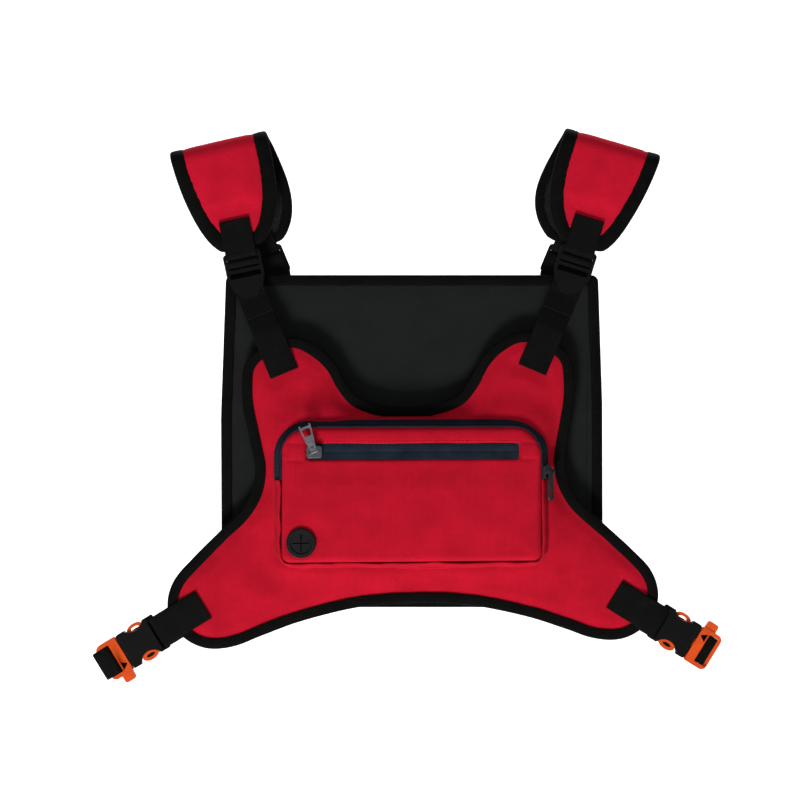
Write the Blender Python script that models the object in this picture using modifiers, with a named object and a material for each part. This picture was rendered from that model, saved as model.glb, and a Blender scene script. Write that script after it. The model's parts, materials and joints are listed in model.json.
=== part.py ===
"""Chest-bag vest: a padded back panel, a front panel with a zipped pocket, folded shoulder pads,
tilting ladder-lock adjusters, and two side-release buckles whose male halves carry a whistle.

Frame: metres, +Z up, the front faces -Y and +X is on the viewer's right. The origin is midway
between the two shoulder folds. Every length below is in millimetres, and MM turns it into metres.
An angle in the XZ plane is in degrees, anticlockwise as seen from the front.
"""
import math

import bmesh
import bpy
from mathutils import Matrix, Vector

MM = 0.001
GAP = 0.3                      # between touching pieces

# ---- driving dimensions -------------------------------------------------------------------------
WEBBING_WIDTH = 25.0
WEBBING_THICK = 1.5
EYE_RADIUS = 3.35              # centre line of webbing where it turns round a bar

BINDING_WIDTH = 9.0
BINDING_THICK = 0.9
BACK_LAYERS = {"shell": (0.0, 1.2), "foam": (1.5, 3.7), "lining": (4.0, 5.0)}
FRONT_LAYERS = {"shell": (-13.5, -12.3), "foam": (-12.0, -10.6), "lining": (-10.3, -9.5)}

FRONT_TILT = 1.3               # the front panel hangs turned by this much
FRONT_PIVOT = (-1.5, -280.0)
POCKET_TILT = 0.3              # and its pocket by this much

POCKET_CENTRE = (1.0, -294.5)
POCKET_HALF = (114.7, 62.5)
POCKET_TOP_RADIUS = 31.0
POCKET_FOOT_RADIUS = 20.0
POCKET_BASE_Y = -13.8
POCKET_STEP_Y = -20.0
POCKET_RIM_Y = -29.2
POCKET_TAPER = 7.0
POCKET_WALL = 2.0
ZIP_END_Z = -282.0             # where the curved zip ends on both sides
FACE_Y = (-31.0, -29.5)
MAIN_SLIDER_Z = -276.5

FRONT_ZIP_CENTRE = (2.5, -259.0)
FRONT_ZIP_SIZE = (176.0, 14.0)
FRONT_SLIDER_X = -79.4
PULL_LENGTH = 24.0
FRONT_PULL_ANGLE = 110.0
PORT_CENTRE = (-90.7, -334.5)

PAD_RADIUS = 12.0              # outer radius of the fold over the shoulder
PAD_DROP = 91.0                # from the top of the fold to the tip
PAD_HALF = 41.4                # half width at the fold
PAD_REACH = 97.0               # where the sides would meet
PAD_POWER = 2.35               # of the superellipse that the sides follow
PAD_LEVELS = {"cover": (0.0, 1.5), "lining": (1.8, 6.0), "binding": (-0.6, 1.5)}

LOCK_WIDTH = 31.5
LOCK_HEIGHT = 25.0
LOCK_TONGUE = 14.0
LOCK_THICK = 3.5
LOCK_Y = 11.0                  # depth of the bars in front of, or behind, the shoulder fold
TOP_BAR = 11.0                 # bar centres, measured from the frame's centre
STRAP_BAR = -3.0
BAR_HALF = 1.5
SLOT_HALF = 13.0

BUCKLE_Y = -11.5
FEMALE = (40.0, 75.5)          # along the buckle's axis, from the inner end of its webbing tab
MALE = (76.2, 96.0)
MALE_BARS = {"inner": 86.8, "end": 94.4}
BUCKLE_HALF = 15.85
ARM_HINGE = (74.0, 9.75)

SIDES = {
    "left": {"fold": (-161.3, 0.4), "slope": 12.8, "front_axis": 12.0, "rear_axis": 22.5,
             "skew": 9.7, "bulge": 4.0, "horn": (-109.0, -184.0), "strap_axis": 22.6,
             "buckle": (-173.7, -387.6), "buckle_axis": 211.5, "loop_bar": "end"},
    "right": {"fold": (170.4, 0.4), "slope": -16.1, "front_axis": -17.5, "rear_axis": -22.5,
              "skew": -6.4, "bulge": -8.0, "horn": (106.0, -181.0), "strap_axis": -23.1,
              "buckle": (171.6, -378.9), "buckle_axis": -31.6, "loop_bar": "inner"},
}
LOCK_DROP = {"front": 107.5, "rear": 110.0}

# Half of the front panel's red edge: bottom centre, out to the wing tip, up the side, round the
# horn and down to the middle of the neckline.
FRONT_EDGE = ((0, -377), (30, -378), (58, -381.5), (98, -391), (130, -402), (152, -410),
              (172, -411), (188, -402), (196, -386), (192, -368), (177, -351), (155, -330),
              (135, -311), (124, -292), (120.3, -272), (124, -247), (128.8, -222), (130, -203),
              (127, -186), (112, -174), (96, -170.5), (82, -176), (68, -189), (58.5, -206),
              (46, -220.5), (24, -229), (0, -231))

COLOURS = {
    "red": ((0.52, 0.012, 0.03), 0.85, 0.0),
    "charcoal": ((0.018, 0.020, 0.019), 0.9, 0.0),
    "black_fabric": ((0.008, 0.009, 0.008), 0.9, 0.0),
    "foam": ((0.03, 0.03, 0.03), 0.95, 0.0),
    "zip_tape": ((0.012, 0.018, 0.028), 0.8, 0.0),
    "orange": ((0.87, 0.11, 0.008), 0.35, 0.0),
    "black_plastic": ((0.01, 0.01, 0.01), 0.4, 0.0),
    "rubber": ((0.012, 0.012, 0.013), 0.6, 0.0),
    "metal": ((0.35, 0.35, 0.36), 0.35, 1.0),
}


# ---- scene and objects --------------------------------------------------------------------------
def clear_scene():
    for obj in list(bpy.data.objects):
        bpy.data.objects.remove(obj, do_unlink=True)


def make_collection(name):
    collection = bpy.data.collections.new(name)
    bpy.context.scene.collection.children.link(collection)
    return collection


def material_for(node, colour):
    base, roughness, metallic = COLOURS[colour]
    material = bpy.data.materials.new(node + "_material")
    material.use_nodes = True
    shader = material.node_tree.nodes["Principled BSDF"]
    shader.inputs["Base Color"].default_value = (*base, 1.0)
    shader.inputs["Roughness"].default_value = roughness
    shader.inputs["Metallic"].default_value = metallic
    return material


def turn(angle, centre=(0.0, 0.0)):
    """Matrix that turns by angle in the XZ plane and moves the origin to centre."""
    return Matrix.Translation((centre[0] * MM, 0, centre[1] * MM)) @ Matrix.Rotation(
        math.radians(-angle), 4, "Y")


def add_frame(name, matrix, parent=None):
    """An empty that carries pieces; matrix is relative to its parent."""
    empty = bpy.data.objects.new(name, None)
    empty.empty_display_size = 0.01
    PIECES.objects.link(empty)
    empty.parent = parent
    empty.matrix_local = matrix
    return empty


def add_node(name, mesh, colour, frame=None):
    """A named piece with its own material, standing in the given frame."""
    node = bpy.data.objects.new(name, mesh)
    PIECES.objects.link(node)
    node.data.materials.append(material_for(name, colour))
    node.parent = frame
    return node


def cut(node, *cutters):
    for cutter in cutters:
        modifier = node.modifiers.new(cutter.name, "BOOLEAN")
        modifier.operation = "DIFFERENCE"
        modifier.solver = "EXACT"
        modifier.object = cutter


def join(node, *others):
    for other in others:
        modifier = node.modifiers.new(other.name, "BOOLEAN")
        modifier.operation = "UNION"
        modifier.solver = "EXACT"
        modifier.object = other


def add_cutter(name, mesh, frame=None):
    cutter = bpy.data.objects.new(name, mesh)
    CUTTERS.objects.link(cutter)
    cutter.parent = frame
    cutter.hide_render = True
    cutter.display_type = "WIRE"
    return cutter


# ---- meshes -------------------------------------------------------------------------------------
def finished(bm, name):
    bmesh.ops.recalc_face_normals(bm, faces=bm.faces)
    mesh = bpy.data.meshes.new(name)
    bm.to_mesh(mesh)
    bm.free()
    mesh.shade_smooth()
    mesh.set_sharp_from_angle(angle=math.radians(35))
    return mesh


def box_mesh(name, low, high):
    bm = bmesh.new()
    bmesh.ops.create_cube(bm, size=1.0)
    size = [(b - a) * MM for a, b in zip(low, high)]
    middle = [(a + b) / 2 * MM for a, b in zip(low, high)]
    bmesh.ops.scale(bm, vec=size, verts=bm.verts)
    bmesh.ops.translate(bm, vec=middle, verts=bm.verts)
    return finished(bm, name)


def plate_mesh(name, outlines, low, high, plane="XZ"):
    """A flat plate. The first outline is its edge and the others are holes.

    In plane XZ the outlines are (x, z) and the plate runs from low to high along Y.
    In plane XY they are (x, y), and in plane YZ (y, z), with the plate along the third axis.
    """
    curve = bpy.data.curves.new(name, "CURVE")
    curve.dimensions = "2D"
    curve.fill_mode = "BOTH"
    curve.extrude = (high - low) / 2 * MM
    for outline in outlines:
        spline = curve.splines.new("POLY")
        spline.points.add(len(outline) - 1)
        for point, (a, b) in zip(spline.points, outline):
            point.co = (a * MM, b * MM, 0, 1)
        spline.use_cyclic_u = True
    holder = bpy.data.objects.new(name, curve)
    bpy.context.scene.collection.objects.link(holder)
    evaluated = holder.evaluated_get(bpy.context.evaluated_depsgraph_get())
    mesh = bpy.data.meshes.new_from_object(evaluated)
    bpy.data.objects.remove(holder)
    middle = (low + high) / 2 * MM
    place = {
        "XZ": Matrix.Translation((0, middle, 0)) @ Matrix.Rotation(math.pi / 2, 4, "X"),
        "XY": Matrix.Translation((0, 0, middle)),
        "YZ": Matrix.Translation((middle, 0, 0)) @ Matrix(((0, 0, 1, 0), (1, 0, 0, 0),
                                                           (0, 1, 0, 0), (0, 0, 0, 1))),
    }[plane]
    bm = bmesh.new()
    bm.from_mesh(mesh)
    bpy.data.meshes.remove(mesh)
    bmesh.ops.remove_doubles(bm, verts=bm.verts, dist=1e-6)
    bmesh.ops.transform(bm, matrix=place, verts=bm.verts)
    return finished(bm, name)


def swept_mesh(name, path, section, closed):
    """Sweeps a section along a flat path. A section point is (offset outwards, y)."""
    bm = bmesh.new()
    loops = []
    for offset, y in section:
        loops.append([bm.verts.new((x * MM, y * MM, z * MM)) for x, z in moved(path, offset, closed)])
    count = len(path)
    for loop, following in zip(loops, loops[1:] + loops[:1]):
        for i in range(count if closed else count - 1):
            j = (i + 1) % count
            bm.faces.new((loop[i], loop[j], following[j], following[i]))
    if not closed:
        bm.faces.new([loop[0] for loop in loops])
        bm.faces.new([loop[-1] for loop in loops])
    return finished(bm, name)


def turned_node(name, profile, colour, frame, steps=28):
    """A turned piece round the frame's Y axis; a profile point is (radius, y)."""
    bm = bmesh.new()
    verts = [bm.verts.new((r * MM, 0, -y * MM)) for r, y in profile]
    for a, b in zip(verts, verts[1:]):
        bm.edges.new((a, b))
    mesh = bpy.data.meshes.new(name)
    bm.to_mesh(mesh)
    bm.free()
    node = add_node(name, mesh, colour, frame)
    node.rotation_euler = (math.pi / 2, 0, 0)
    screw = node.modifiers.new("turn", "SCREW")
    screw.steps = steps
    screw.render_steps = steps
    screw.use_merge_vertices = True
    screw.merge_threshold = 1e-5
    screw.use_smooth_shade = True
    return node


# ---- outlines -----------------------------------------------------------------------------------
def smooth_loop(points, steps):
    """Closed Catmull-Rom curve through the points."""
    count = len(points)
    curve = []
    for i in range(count):
        p0, p1, p2, p3 = (Vector(points[(i + k) % count]) for k in (-1, 0, 1, 2))
        for step in range(steps):
            t = step / steps
            curve.append(0.5 * (2 * p1 + (p2 - p0) * t + (2 * p0 - 5 * p1 + 4 * p2 - p3) * t ** 2
                                + (3 * p1 - p0 - 3 * p2 + p3) * t ** 3))
    return [tuple(p) for p in curve]


def moved(path, offset, closed=True):
    """The path moved outwards, to the right of its direction of travel."""
    count = len(path)
    result = []
    for i, (x, z) in enumerate(path):
        before = path[i - 1] if closed or i else path[0]
        after = path[(i + 1) % count] if closed or i < count - 1 else path[-1]
        along = Vector((after[0] - before[0], after[1] - before[1])).normalized()
        result.append((x + along.y * offset, z - along.x * offset))
    return result


def rounded_outline(corners, steps=5):
    """Anticlockwise polygon with rounded corners; a corner is (x, z, radius)."""
    outline = []
    count = len(corners)
    for i, (x, z, radius) in enumerate(corners):
        here = Vector((x, z))
        to_last = (Vector(corners[i - 1][:2]) - here).normalized()
        to_next = (Vector(corners[(i + 1) % count][:2]) - here).normalized()
        half = to_last.angle(to_next) / 2
        centre = here + (to_last + to_next).normalized() * radius / math.sin(half)
        start = here + to_last * radius / math.tan(half) - centre
        sweep = start.angle_signed(here + to_next * radius / math.tan(half) - centre)
        for step in range(steps + 1):
            a = -sweep * step / steps
            spoke = Vector((start.x * math.cos(a) - start.y * math.sin(a),
                            start.x * math.sin(a) + start.y * math.cos(a)))
            outline.append(tuple(centre + spoke))
    return outline


def rectangle(centre, half, radius, steps=3):
    x, z = centre
    a, b = half
    return rounded_outline([(x - a, z - b, radius), (x + a, z - b, radius),
                            (x + a, z + b, radius), (x - a, z + b, radius)], steps)


def arc(centre, radius, start, end, steps=8):
    result = []
    for step in range(steps + 1):
        a = math.radians(start + (end - start) * step / steps)
        result.append((centre[0] + radius * math.cos(a), centre[1] + radius * math.sin(a)))
    return result


def ribbon(path, thickness=WEBBING_THICK):
    """Outline of webbing seen edge-on, along a centre line."""
    return moved(path, thickness / 2, False) + moved(path, -thickness / 2, False)[::-1]


# ---- panels -------------------------------------------------------------------------------------
def between(edge, inner, offset):
    """The outline that lies offset from the edge, towards the binding's inner border."""
    share = -offset / BINDING_WIDTH
    return [tuple(Vector(a).lerp(Vector(b), share)) for a, b in zip(edge, inner)]


def binding_mesh(name, edge, inner, section):
    """A closed channel along the edge; a section point is (offset, y)."""
    bm = bmesh.new()
    loops = []
    for offset, y in section:
        loops.append([bm.verts.new((x * MM, y * MM, z * MM))
                      for x, z in between(edge, inner, offset)])
    for loop, following in zip(loops, loops[1:] + loops[:1]):
        for i in range(len(loop)):
            bm.faces.new((loop[i - 1], loop[i], following[i], following[i - 1]))
    return finished(bm, name)


def panel(name, edge, inner, layers, colours, frame):
    """Shell, foam and lining plates held by a binding that wraps their edge."""
    for layer, (low, high) in layers.items():
        inset = between(edge, inner, -BINDING_THICK - 2 * GAP)
        add_node(f"{name}_{layer}", plate_mesh(name, [inset], low, high), colours[layer], frame)
    front = min(low for low, high in layers.values()) - GAP
    back = max(high for low, high in layers.values()) + GAP
    channel = [(0, front - BINDING_THICK), (0, back + BINDING_THICK),
               (-BINDING_WIDTH, back + BINDING_THICK), (-BINDING_WIDTH, back),
               (-BINDING_THICK, back), (-BINDING_THICK, front),
               (-BINDING_WIDTH, front), (-BINDING_WIDTH, front - BINDING_THICK)]
    add_node(f"{name}_binding", binding_mesh(name, edge, inner, channel), "black_fabric", frame)


def back_panel():
    corners = ((-158.0, -390.3, 6), (162.0, -390.3, 6), (161.5, -220.0, 300),
               (158.0, -111.3, 6), (-154.6, -111.3, 6), (-158.8, -230.0, 300))
    edge = rounded_outline(corners, 3)
    width = BINDING_WIDTH
    inner = [(x - math.copysign(width, x),
              z + width if z < -390 else z - width if z > -112 else z,
              1.0 if radius < 10 else radius) for x, z, radius in corners]
    panel("back", edge, rounded_outline(inner, 3), BACK_LAYERS,
          {"shell": "charcoal", "foam": "foam", "lining": "charcoal"}, None)


def front_panel(frame):
    half = [tuple(map(float, point)) for point in FRONT_EDGE]
    mirrored = [(-x, z) for x, z in half[-2:0:-1]]
    red_edge = smooth_loop(half + mirrored, 3)
    panel("front", moved(red_edge, BINDING_WIDTH), red_edge, FRONT_LAYERS,
          {"shell": "red", "foam": "foam", "lining": "black_fabric"}, frame)


# ---- pocket -------------------------------------------------------------------------------------
def pocket_path(start, end):
    """The pocket's base edge, anticlockwise from the left or right end of the curved zip."""
    (x, z), (a, b) = POCKET_CENTRE, POCKET_HALF
    outline = rounded_outline([(x + a, z + b, POCKET_TOP_RADIUS), (x - a, z + b, POCKET_TOP_RADIUS),
                               (x - a, z - b, POCKET_FOOT_RADIUS),
                               (x + a, z - b, POCKET_FOOT_RADIUS)], 6)
    top, foot = outline[:14], outline[14:]
    if (start, end) == ("right", "left"):
        return [(x + a, ZIP_END_Z)] + top + [(x - a, ZIP_END_Z)]
    if (start, end) == ("left", "right"):
        return [(x - a, ZIP_END_Z - GAP)] + foot + [(x + a, ZIP_END_Z - GAP)]
    return outline


def pocket(frame):
    whole = pocket_path(None, None)
    wall = [(0, POCKET_BASE_Y), (-1, POCKET_STEP_Y), (-1 - POCKET_WALL, POCKET_STEP_Y),
            (-POCKET_WALL, POCKET_BASE_Y)]
    add_node("pocket_gusset", swept_mesh("gusset", whole, wall, True), "red", frame)
    rim = [(-1, POCKET_STEP_Y - GAP), (-POCKET_TAPER, POCKET_RIM_Y),
           (-POCKET_TAPER - POCKET_WALL, POCKET_RIM_Y), (-1 - POCKET_WALL, POCKET_STEP_Y - GAP)]
    add_node("main_zip_tape", swept_mesh("zip", pocket_path("right", "left"), rim, False),
             "zip_tape", frame)
    add_node("pocket_rim", swept_mesh("rim", pocket_path("left", "right"), rim, False), "red", frame)

    length, height = FRONT_ZIP_SIZE
    slot = rectangle(FRONT_ZIP_CENTRE, (length / 2 + GAP, height / 2 + GAP), 1.0, 2)
    port_hole = arc(PORT_CENTRE, 9.0, 0, 345, 23)
    face = plate_mesh("face", [moved(whole, 0.5 - POCKET_TAPER), slot, port_hole], *FACE_Y)
    add_node("pocket_face", face, "red", frame)
    tape = rectangle(FRONT_ZIP_CENTRE, (length / 2, height / 2), 1.0, 2)
    add_node("front_zip_tape", plate_mesh("tape", [tape], FACE_Y[0] + 0.4, FACE_Y[1] + 0.1),
             "zip_tape", frame)
    port(frame)


def port(frame):
    """Rubber cable outlet: a flange on the face, a collar through it and a cross slit."""
    place = add_frame("port_frame", turn(0, PORT_CENTRE), frame)
    profile = [(0, -32.6), (8.6, -32.6), (9.2, -33.6), (11.6, -33.6), (12.5, -32.8), (12.5, -31.3),
               (8.6, -31.3), (8.6, -28.6), (0, -28.6)]
    outlet = turned_node("earphone_port", profile[::-1], "rubber", place)
    for name, half in (("slit_across", (7.0, 0.4)), ("slit_upright", (0.4, 7.0))):
        slit = box_mesh(name, (-half[0], -36, -half[1]), (half[0], -27, half[1]))
        cut(outlet, add_cutter(name, slit, place))


# ---- zip sliders --------------------------------------------------------------------------------
def zip_slider(name, size, frame, ear_turn, colour):
    """A slider body with two ears, whose pull swings between them.

    In the frame, -Y points out of the tape and the body stands on y = 0. The ears stand either
    side of an axis through (0, -5.6, 0), turned in the XZ plane.
    """
    width, height = size
    body = plate_mesh(name, [rectangle((0, 0), (width / 2, height / 2), 2.0)], -3.5, 0)
    node = add_node(name + "_slider", body, colour, frame)
    ears = add_frame(name + "_ears", turn(ear_turn), frame)
    for side in (-1, 1):
        low, high = sorted((side * 3.1, side * 4.6))
        ear = box_mesh("ear", (-1.8, -7.2, low), (1.8, -3.0, high))
        join(node, add_cutter(f"{name}_ear_{side}", ear, ears))
    axis = add_frame(name + "_pull_axis", Matrix.Translation((0, -5.6 * MM, 0)), ears)
    neck, wide, tip = 2.8, 4.0, PULL_LENGTH
    outline = [(0, -neck), (5, -neck), (8, -wide * 0.8), (tip - 3, -wide), (tip, -wide + 1.5),
               (tip, wide - 1.5), (tip - 3, wide), (8, wide * 0.8), (5, neck), (0, neck)]
    window = rectangle((tip - 6.5, 0), (4.0, 1.6), 0.8, 2)
    pull = add_node(name + "_pull", plate_mesh("pull", [outline, window], -0.7, 0.7), colour, axis)
    eye = bmesh.new()
    bmesh.ops.create_cone(eye, segments=16, radius1=1.5 * MM, radius2=1.5 * MM,
                          depth=2 * neck * MM, cap_ends=True)
    join(pull, add_cutter(name + "_eye", finished(eye, "eye"), axis))


def zip_sliders(frame):
    place = add_frame("front_slider_frame",
                      Matrix.Translation((0, (FACE_Y[0] + 0.1) * MM, 0))
                      @ turn(0, (FRONT_SLIDER_X, FRONT_ZIP_CENTRE[1])), frame)
    zip_slider("front_zip", (12.6, 10.0), place, FRONT_PULL_ANGLE, "metal")

    run = Vector((-POCKET_TAPER + 1, POCKET_RIM_Y - POCKET_STEP_Y))
    lean = math.atan2(-run.x, -run.y)
    middle = Vector((POCKET_CENTRE[0] + POCKET_HALF[0] - (POCKET_TAPER + 1) / 2,
                     (POCKET_RIM_Y + POCKET_STEP_Y) / 2, MAIN_SLIDER_Z))
    outwards = Vector((math.cos(lean), -math.sin(lean), 0))
    spot = (middle + outwards * 0.5) * MM
    side_place = (Matrix.Translation(spot) @ Matrix.Rotation(math.pi / 2 - lean, 4, "Z"))
    place = add_frame("main_slider_frame", side_place, frame)
    zip_slider("main_zip", (9.0, 12.0), place, -90.0, "metal")


# ---- shoulder pads ------------------------------------------------------------------------------
def pad_half_width(drop):
    return PAD_HALF * (1 - (drop / PAD_REACH) ** PAD_POWER) ** (1 / PAD_POWER)


def folded(x, drop, depth, side, leaf):
    """A point of a pad's leaf: across, down from the fold's top, and below the outer face."""
    swell = math.sin(math.pi * (drop / PAD_REACH) ** 1.5) * SIDES[side]["bulge"]
    facing, lean = -1, 0.4 * swell
    if leaf == "rear":
        facing = 1
        lean = math.tan(math.radians(SIDES[side]["skew"])) * drop + swell
    radius = PAD_RADIUS - depth
    if drop < PAD_RADIUS:
        a = math.acos(1 - drop / PAD_RADIUS)
        y, z = radius * math.sin(a), -PAD_RADIUS + radius * math.cos(a)
    else:
        y, z = radius, -drop
    return Vector((x + lean, facing * max(y, GAP / 2), z)) * MM


def pad_surface(side, leaf, layer, rows, colour, frame):
    """A leaf's layer: rows of (x, drop) points, given its thickness by Solidify."""
    name = f"{side}_pad_{leaf}_{layer}"
    low, high = PAD_LEVELS[layer]
    depth = (low + high) / 2
    bm = bmesh.new()
    grid = [[bm.verts.new(folded(x, drop, depth, side, leaf)) for x, drop in row] for row in rows]
    for row, following in zip(grid, grid[1:]):
        for i in range(len(row) - 1):
            bm.faces.new((row[i], row[i + 1], following[i + 1], following[i]))
    node = add_node(name, finished(bm, name), colour, frame)
    solidify = node.modifiers.new("thickness", "SOLIDIFY")
    solidify.thickness = (high - low) * MM
    solidify.offset = 0
    solidify.use_even_offset = False


def pad_leaf(side, leaf, frame):
    """Lining over the whole leaf, the cover inside its border, and the binding round it."""
    first = 0.35
    drops = [first, 1.8, 5.0, PAD_RADIUS, 26, 40, 51, 62, 71, 79, 85]
    across = [-1 + 2 * i / 6 for i in range(7)]
    border = BINDING_WIDTH + 1

    def leaf_rows(inset, last):
        rows = []
        for d in [d for d in drops if d < last] + [last]:
            slope = (pad_half_width(d + 1) - pad_half_width(max(d - 1, 0))) / 2
            half = pad_half_width(d) - inset * math.hypot(1, slope)
            rows.append([(u * half, d) for u in across])
        return rows

    pad_surface(side, leaf, "lining", leaf_rows(0, PAD_DROP), "black_fabric", frame)
    pad_surface(side, leaf, "cover", leaf_rows(border + 3 * GAP, 79.5), "red", frame)
    half = [(pad_half_width(d), d) for d in drops + [PAD_DROP]] + [(12.0, 92.4), (4.0, 92.8)]
    outer = half + [(-x, d) for x, d in half[::-1]]
    inner = moved(outer, -border, False)
    inner[0] = (outer[0][0] - border, first)
    inner[-1] = (-inner[0][0], first)
    pad_surface(side, leaf, "binding", [[a, b] for a, b in zip(outer, inner)], "black_fabric",
                frame)


# ---- adjusters and their webbing ----------------------------------------------------------------
def webbing(name, path, frame, plane):
    """Webbing of full width along a path; the plane is YZ, or XY for a buckle's strap."""
    half = WEBBING_WIDTH / 2
    add_node(name, plate_mesh(name, [ribbon(path)], -half, half, plane), "black_fabric", frame)


def ladder_lock(side, leaf):
    """The adjuster, the tab that ties it to the pad, and the strap's turn round its bar."""
    spec = SIDES[side]
    facing = -1 if leaf == "front" else 1
    frame = add_frame(f"{side}_{leaf}_strap_frame", turn(spec[f"{leaf}_axis"], spec["fold"]))
    y = facing * LOCK_Y
    centre = -LOCK_DROP[leaf]
    top = centre + TOP_BAR
    shift = -LOCK_DROP[leaf] + LOCK_DROP["front"]
    face, back = facing * 13.7, facing * 4.3
    turn_start = 180 if facing < 0 else 0
    turn_end = 360 if facing < 0 else -180
    tab = ([(face, -68.0), (face, -90.0 + shift)]
           + arc((y, top), EYE_RADIUS, turn_start, turn_end)
           + [(facing * 4.6, top + 4.0), (back, top + 7.0), (back, -74.0)])
    webbing(f"{side}_{leaf}_tab", tab, frame, "YZ")

    half = LOCK_WIDTH / 2
    foot = centre - LOCK_HEIGHT / 2
    outline = rounded_outline([(-half, foot, 3), (-11, foot, 1), (-7.5, foot - LOCK_TONGUE, 5),
                               (7.5, foot - LOCK_TONGUE, 5), (11, foot, 1), (half, foot, 3),
                               (half, centre + LOCK_HEIGHT / 2, 3),
                               (-half, centre + LOCK_HEIGHT / 2, 3)], 3)
    bars = [TOP_BAR, 4.0, STRAP_BAR, -10.5]
    slots = []
    for upper, lower in zip(bars, bars[1:]):
        middle = centre + (upper + lower) / 2
        slots.append(rectangle((0, middle), (SLOT_HALF, (upper - lower) / 2 - BAR_HALF), 0.8, 2))
    low, high = y - LOCK_THICK / 2, y + LOCK_THICK / 2
    add_node(f"{side}_{leaf}_lock", plate_mesh("lock", [outline] + slots, low, high),
             "black_plastic", frame)

    bar = (y, centre + STRAP_BAR)
    inner = facing * (LOCK_Y - EYE_RADIUS)
    wind = arc(bar, EYE_RADIUS, 240, 0, 10) if facing < 0 else arc(bar, EYE_RADIUS, -60, 180, 10)
    webbing(f"{side}_{leaf}_wrap", wind + [(inner, centre - 14.0)], frame, "YZ")
    return frame


def shoulder(side):
    spec = SIDES[side]
    pad_frame = add_frame(f"{side}_pad_frame", turn(spec["slope"], spec["fold"]))
    for leaf in ("front", "rear"):
        pad_leaf(side, leaf, pad_frame)
        strap_frame = ladder_lock(side, leaf)
    sewn = BACK_LAYERS["lining"][1] + GAP + BINDING_THICK + GAP + WEBBING_THICK / 2
    end = -LOCK_DROP["rear"] - 17.0
    webbing(f"{side}_rear_strap", [(LOCK_Y - EYE_RADIUS, end), (sewn, end - 8), (sewn, end - 32)],
            strap_frame, "YZ")
    horn = add_frame(f"{side}_horn_frame", turn(spec["strap_axis"], spec["horn"]))
    patch = -15.8
    webbing(f"{side}_front_strap",
            [(patch, -10.5), (patch, 27.0), (-LOCK_Y + EYE_RADIUS, 55.0),
             (-LOCK_Y + EYE_RADIUS, 66.0)], horn, "YZ")


# ---- buckles ------------------------------------------------------------------------------------
def buckle(side):
    """A side-release buckle: X runs outwards along it, and Z across it."""
    spec = SIDES[side]
    frame = add_frame(f"{side}_buckle_frame", turn(spec["buckle_axis"], spec["buckle"]))
    name = f"{side}_buckle"
    female_half(name, frame)
    male_half(name, frame)
    bar = (FEMALE[0] + 1.6, BUCKLE_Y)
    front, rear = BUCKLE_Y - 4.3, BUCKLE_Y + 4.3
    webbing(name + "_tab", [(2.0, front), (36.5, front), (39.5, BUCKLE_Y - EYE_RADIUS)]
            + arc(bar, EYE_RADIUS, -90, 90) + [(39.5, BUCKLE_Y + EYE_RADIUS), (36.5, rear),
                                               (12.0, rear)], frame, "XY")
    bar = (MALE_BARS[spec["loop_bar"]], BUCKLE_Y)
    rise = [(bar[0] - 14.0, -4.65), (bar[0] - 5.9, -5.9), (bar[0] - 2.9, -7.7)]
    webbing(f"{side}_waist_loop", [(22.0, -4.65)] + rise + arc(bar, EYE_RADIUS, 90, -160, 10),
            frame, "XY")
    webbing(f"{side}_waist_strap", [(-45.0, -2.55), (64.0, -2.55)], frame, "XY")


def rounded_box(name, low, high, colour, frame, radius):
    node = add_node(name, box_mesh(name, low, high), colour, frame)
    bevel = node.modifiers.new("rounding", "BEVEL")
    bevel.width = radius * MM
    bevel.segments = 2
    return node


def female_half(name, frame):
    start, mouth = FEMALE
    half = BUCKLE_HALF
    thick = 5.5
    plain = start + 6.5
    y = BUCKLE_Y
    body = rounded_box(name + "_female", (start, y - thick, -half), (mouth, y + thick, half),
                       "black_plastic", frame, 1.5)
    spaces = {
        "cavity": ((48.0, y - 3.5, -13.2), (mouth + 5, y + 3.5, 13.2)),
        "windows": ((54.0, y - 3.2, -half - 5), (66.0, y + 3.2, half + 5)),
        "above_bar": ((start - 5, y - 9, -half - 5), (plain, y - 1.75, half + 5)),
        "below_bar": ((start - 5, y + 1.75, -half - 5), (plain, y + 9, half + 5)),
        "webbing_slot": ((start + 3.2, y - 9, -SLOT_HALF), (plain + 0.1, y + 9, SLOT_HALF)),
    }
    for space, (low, high) in spaces.items():
        label = f"{name}_{space}"
        cut(body, add_cutter(label, box_mesh(label, low, high), frame))


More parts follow.
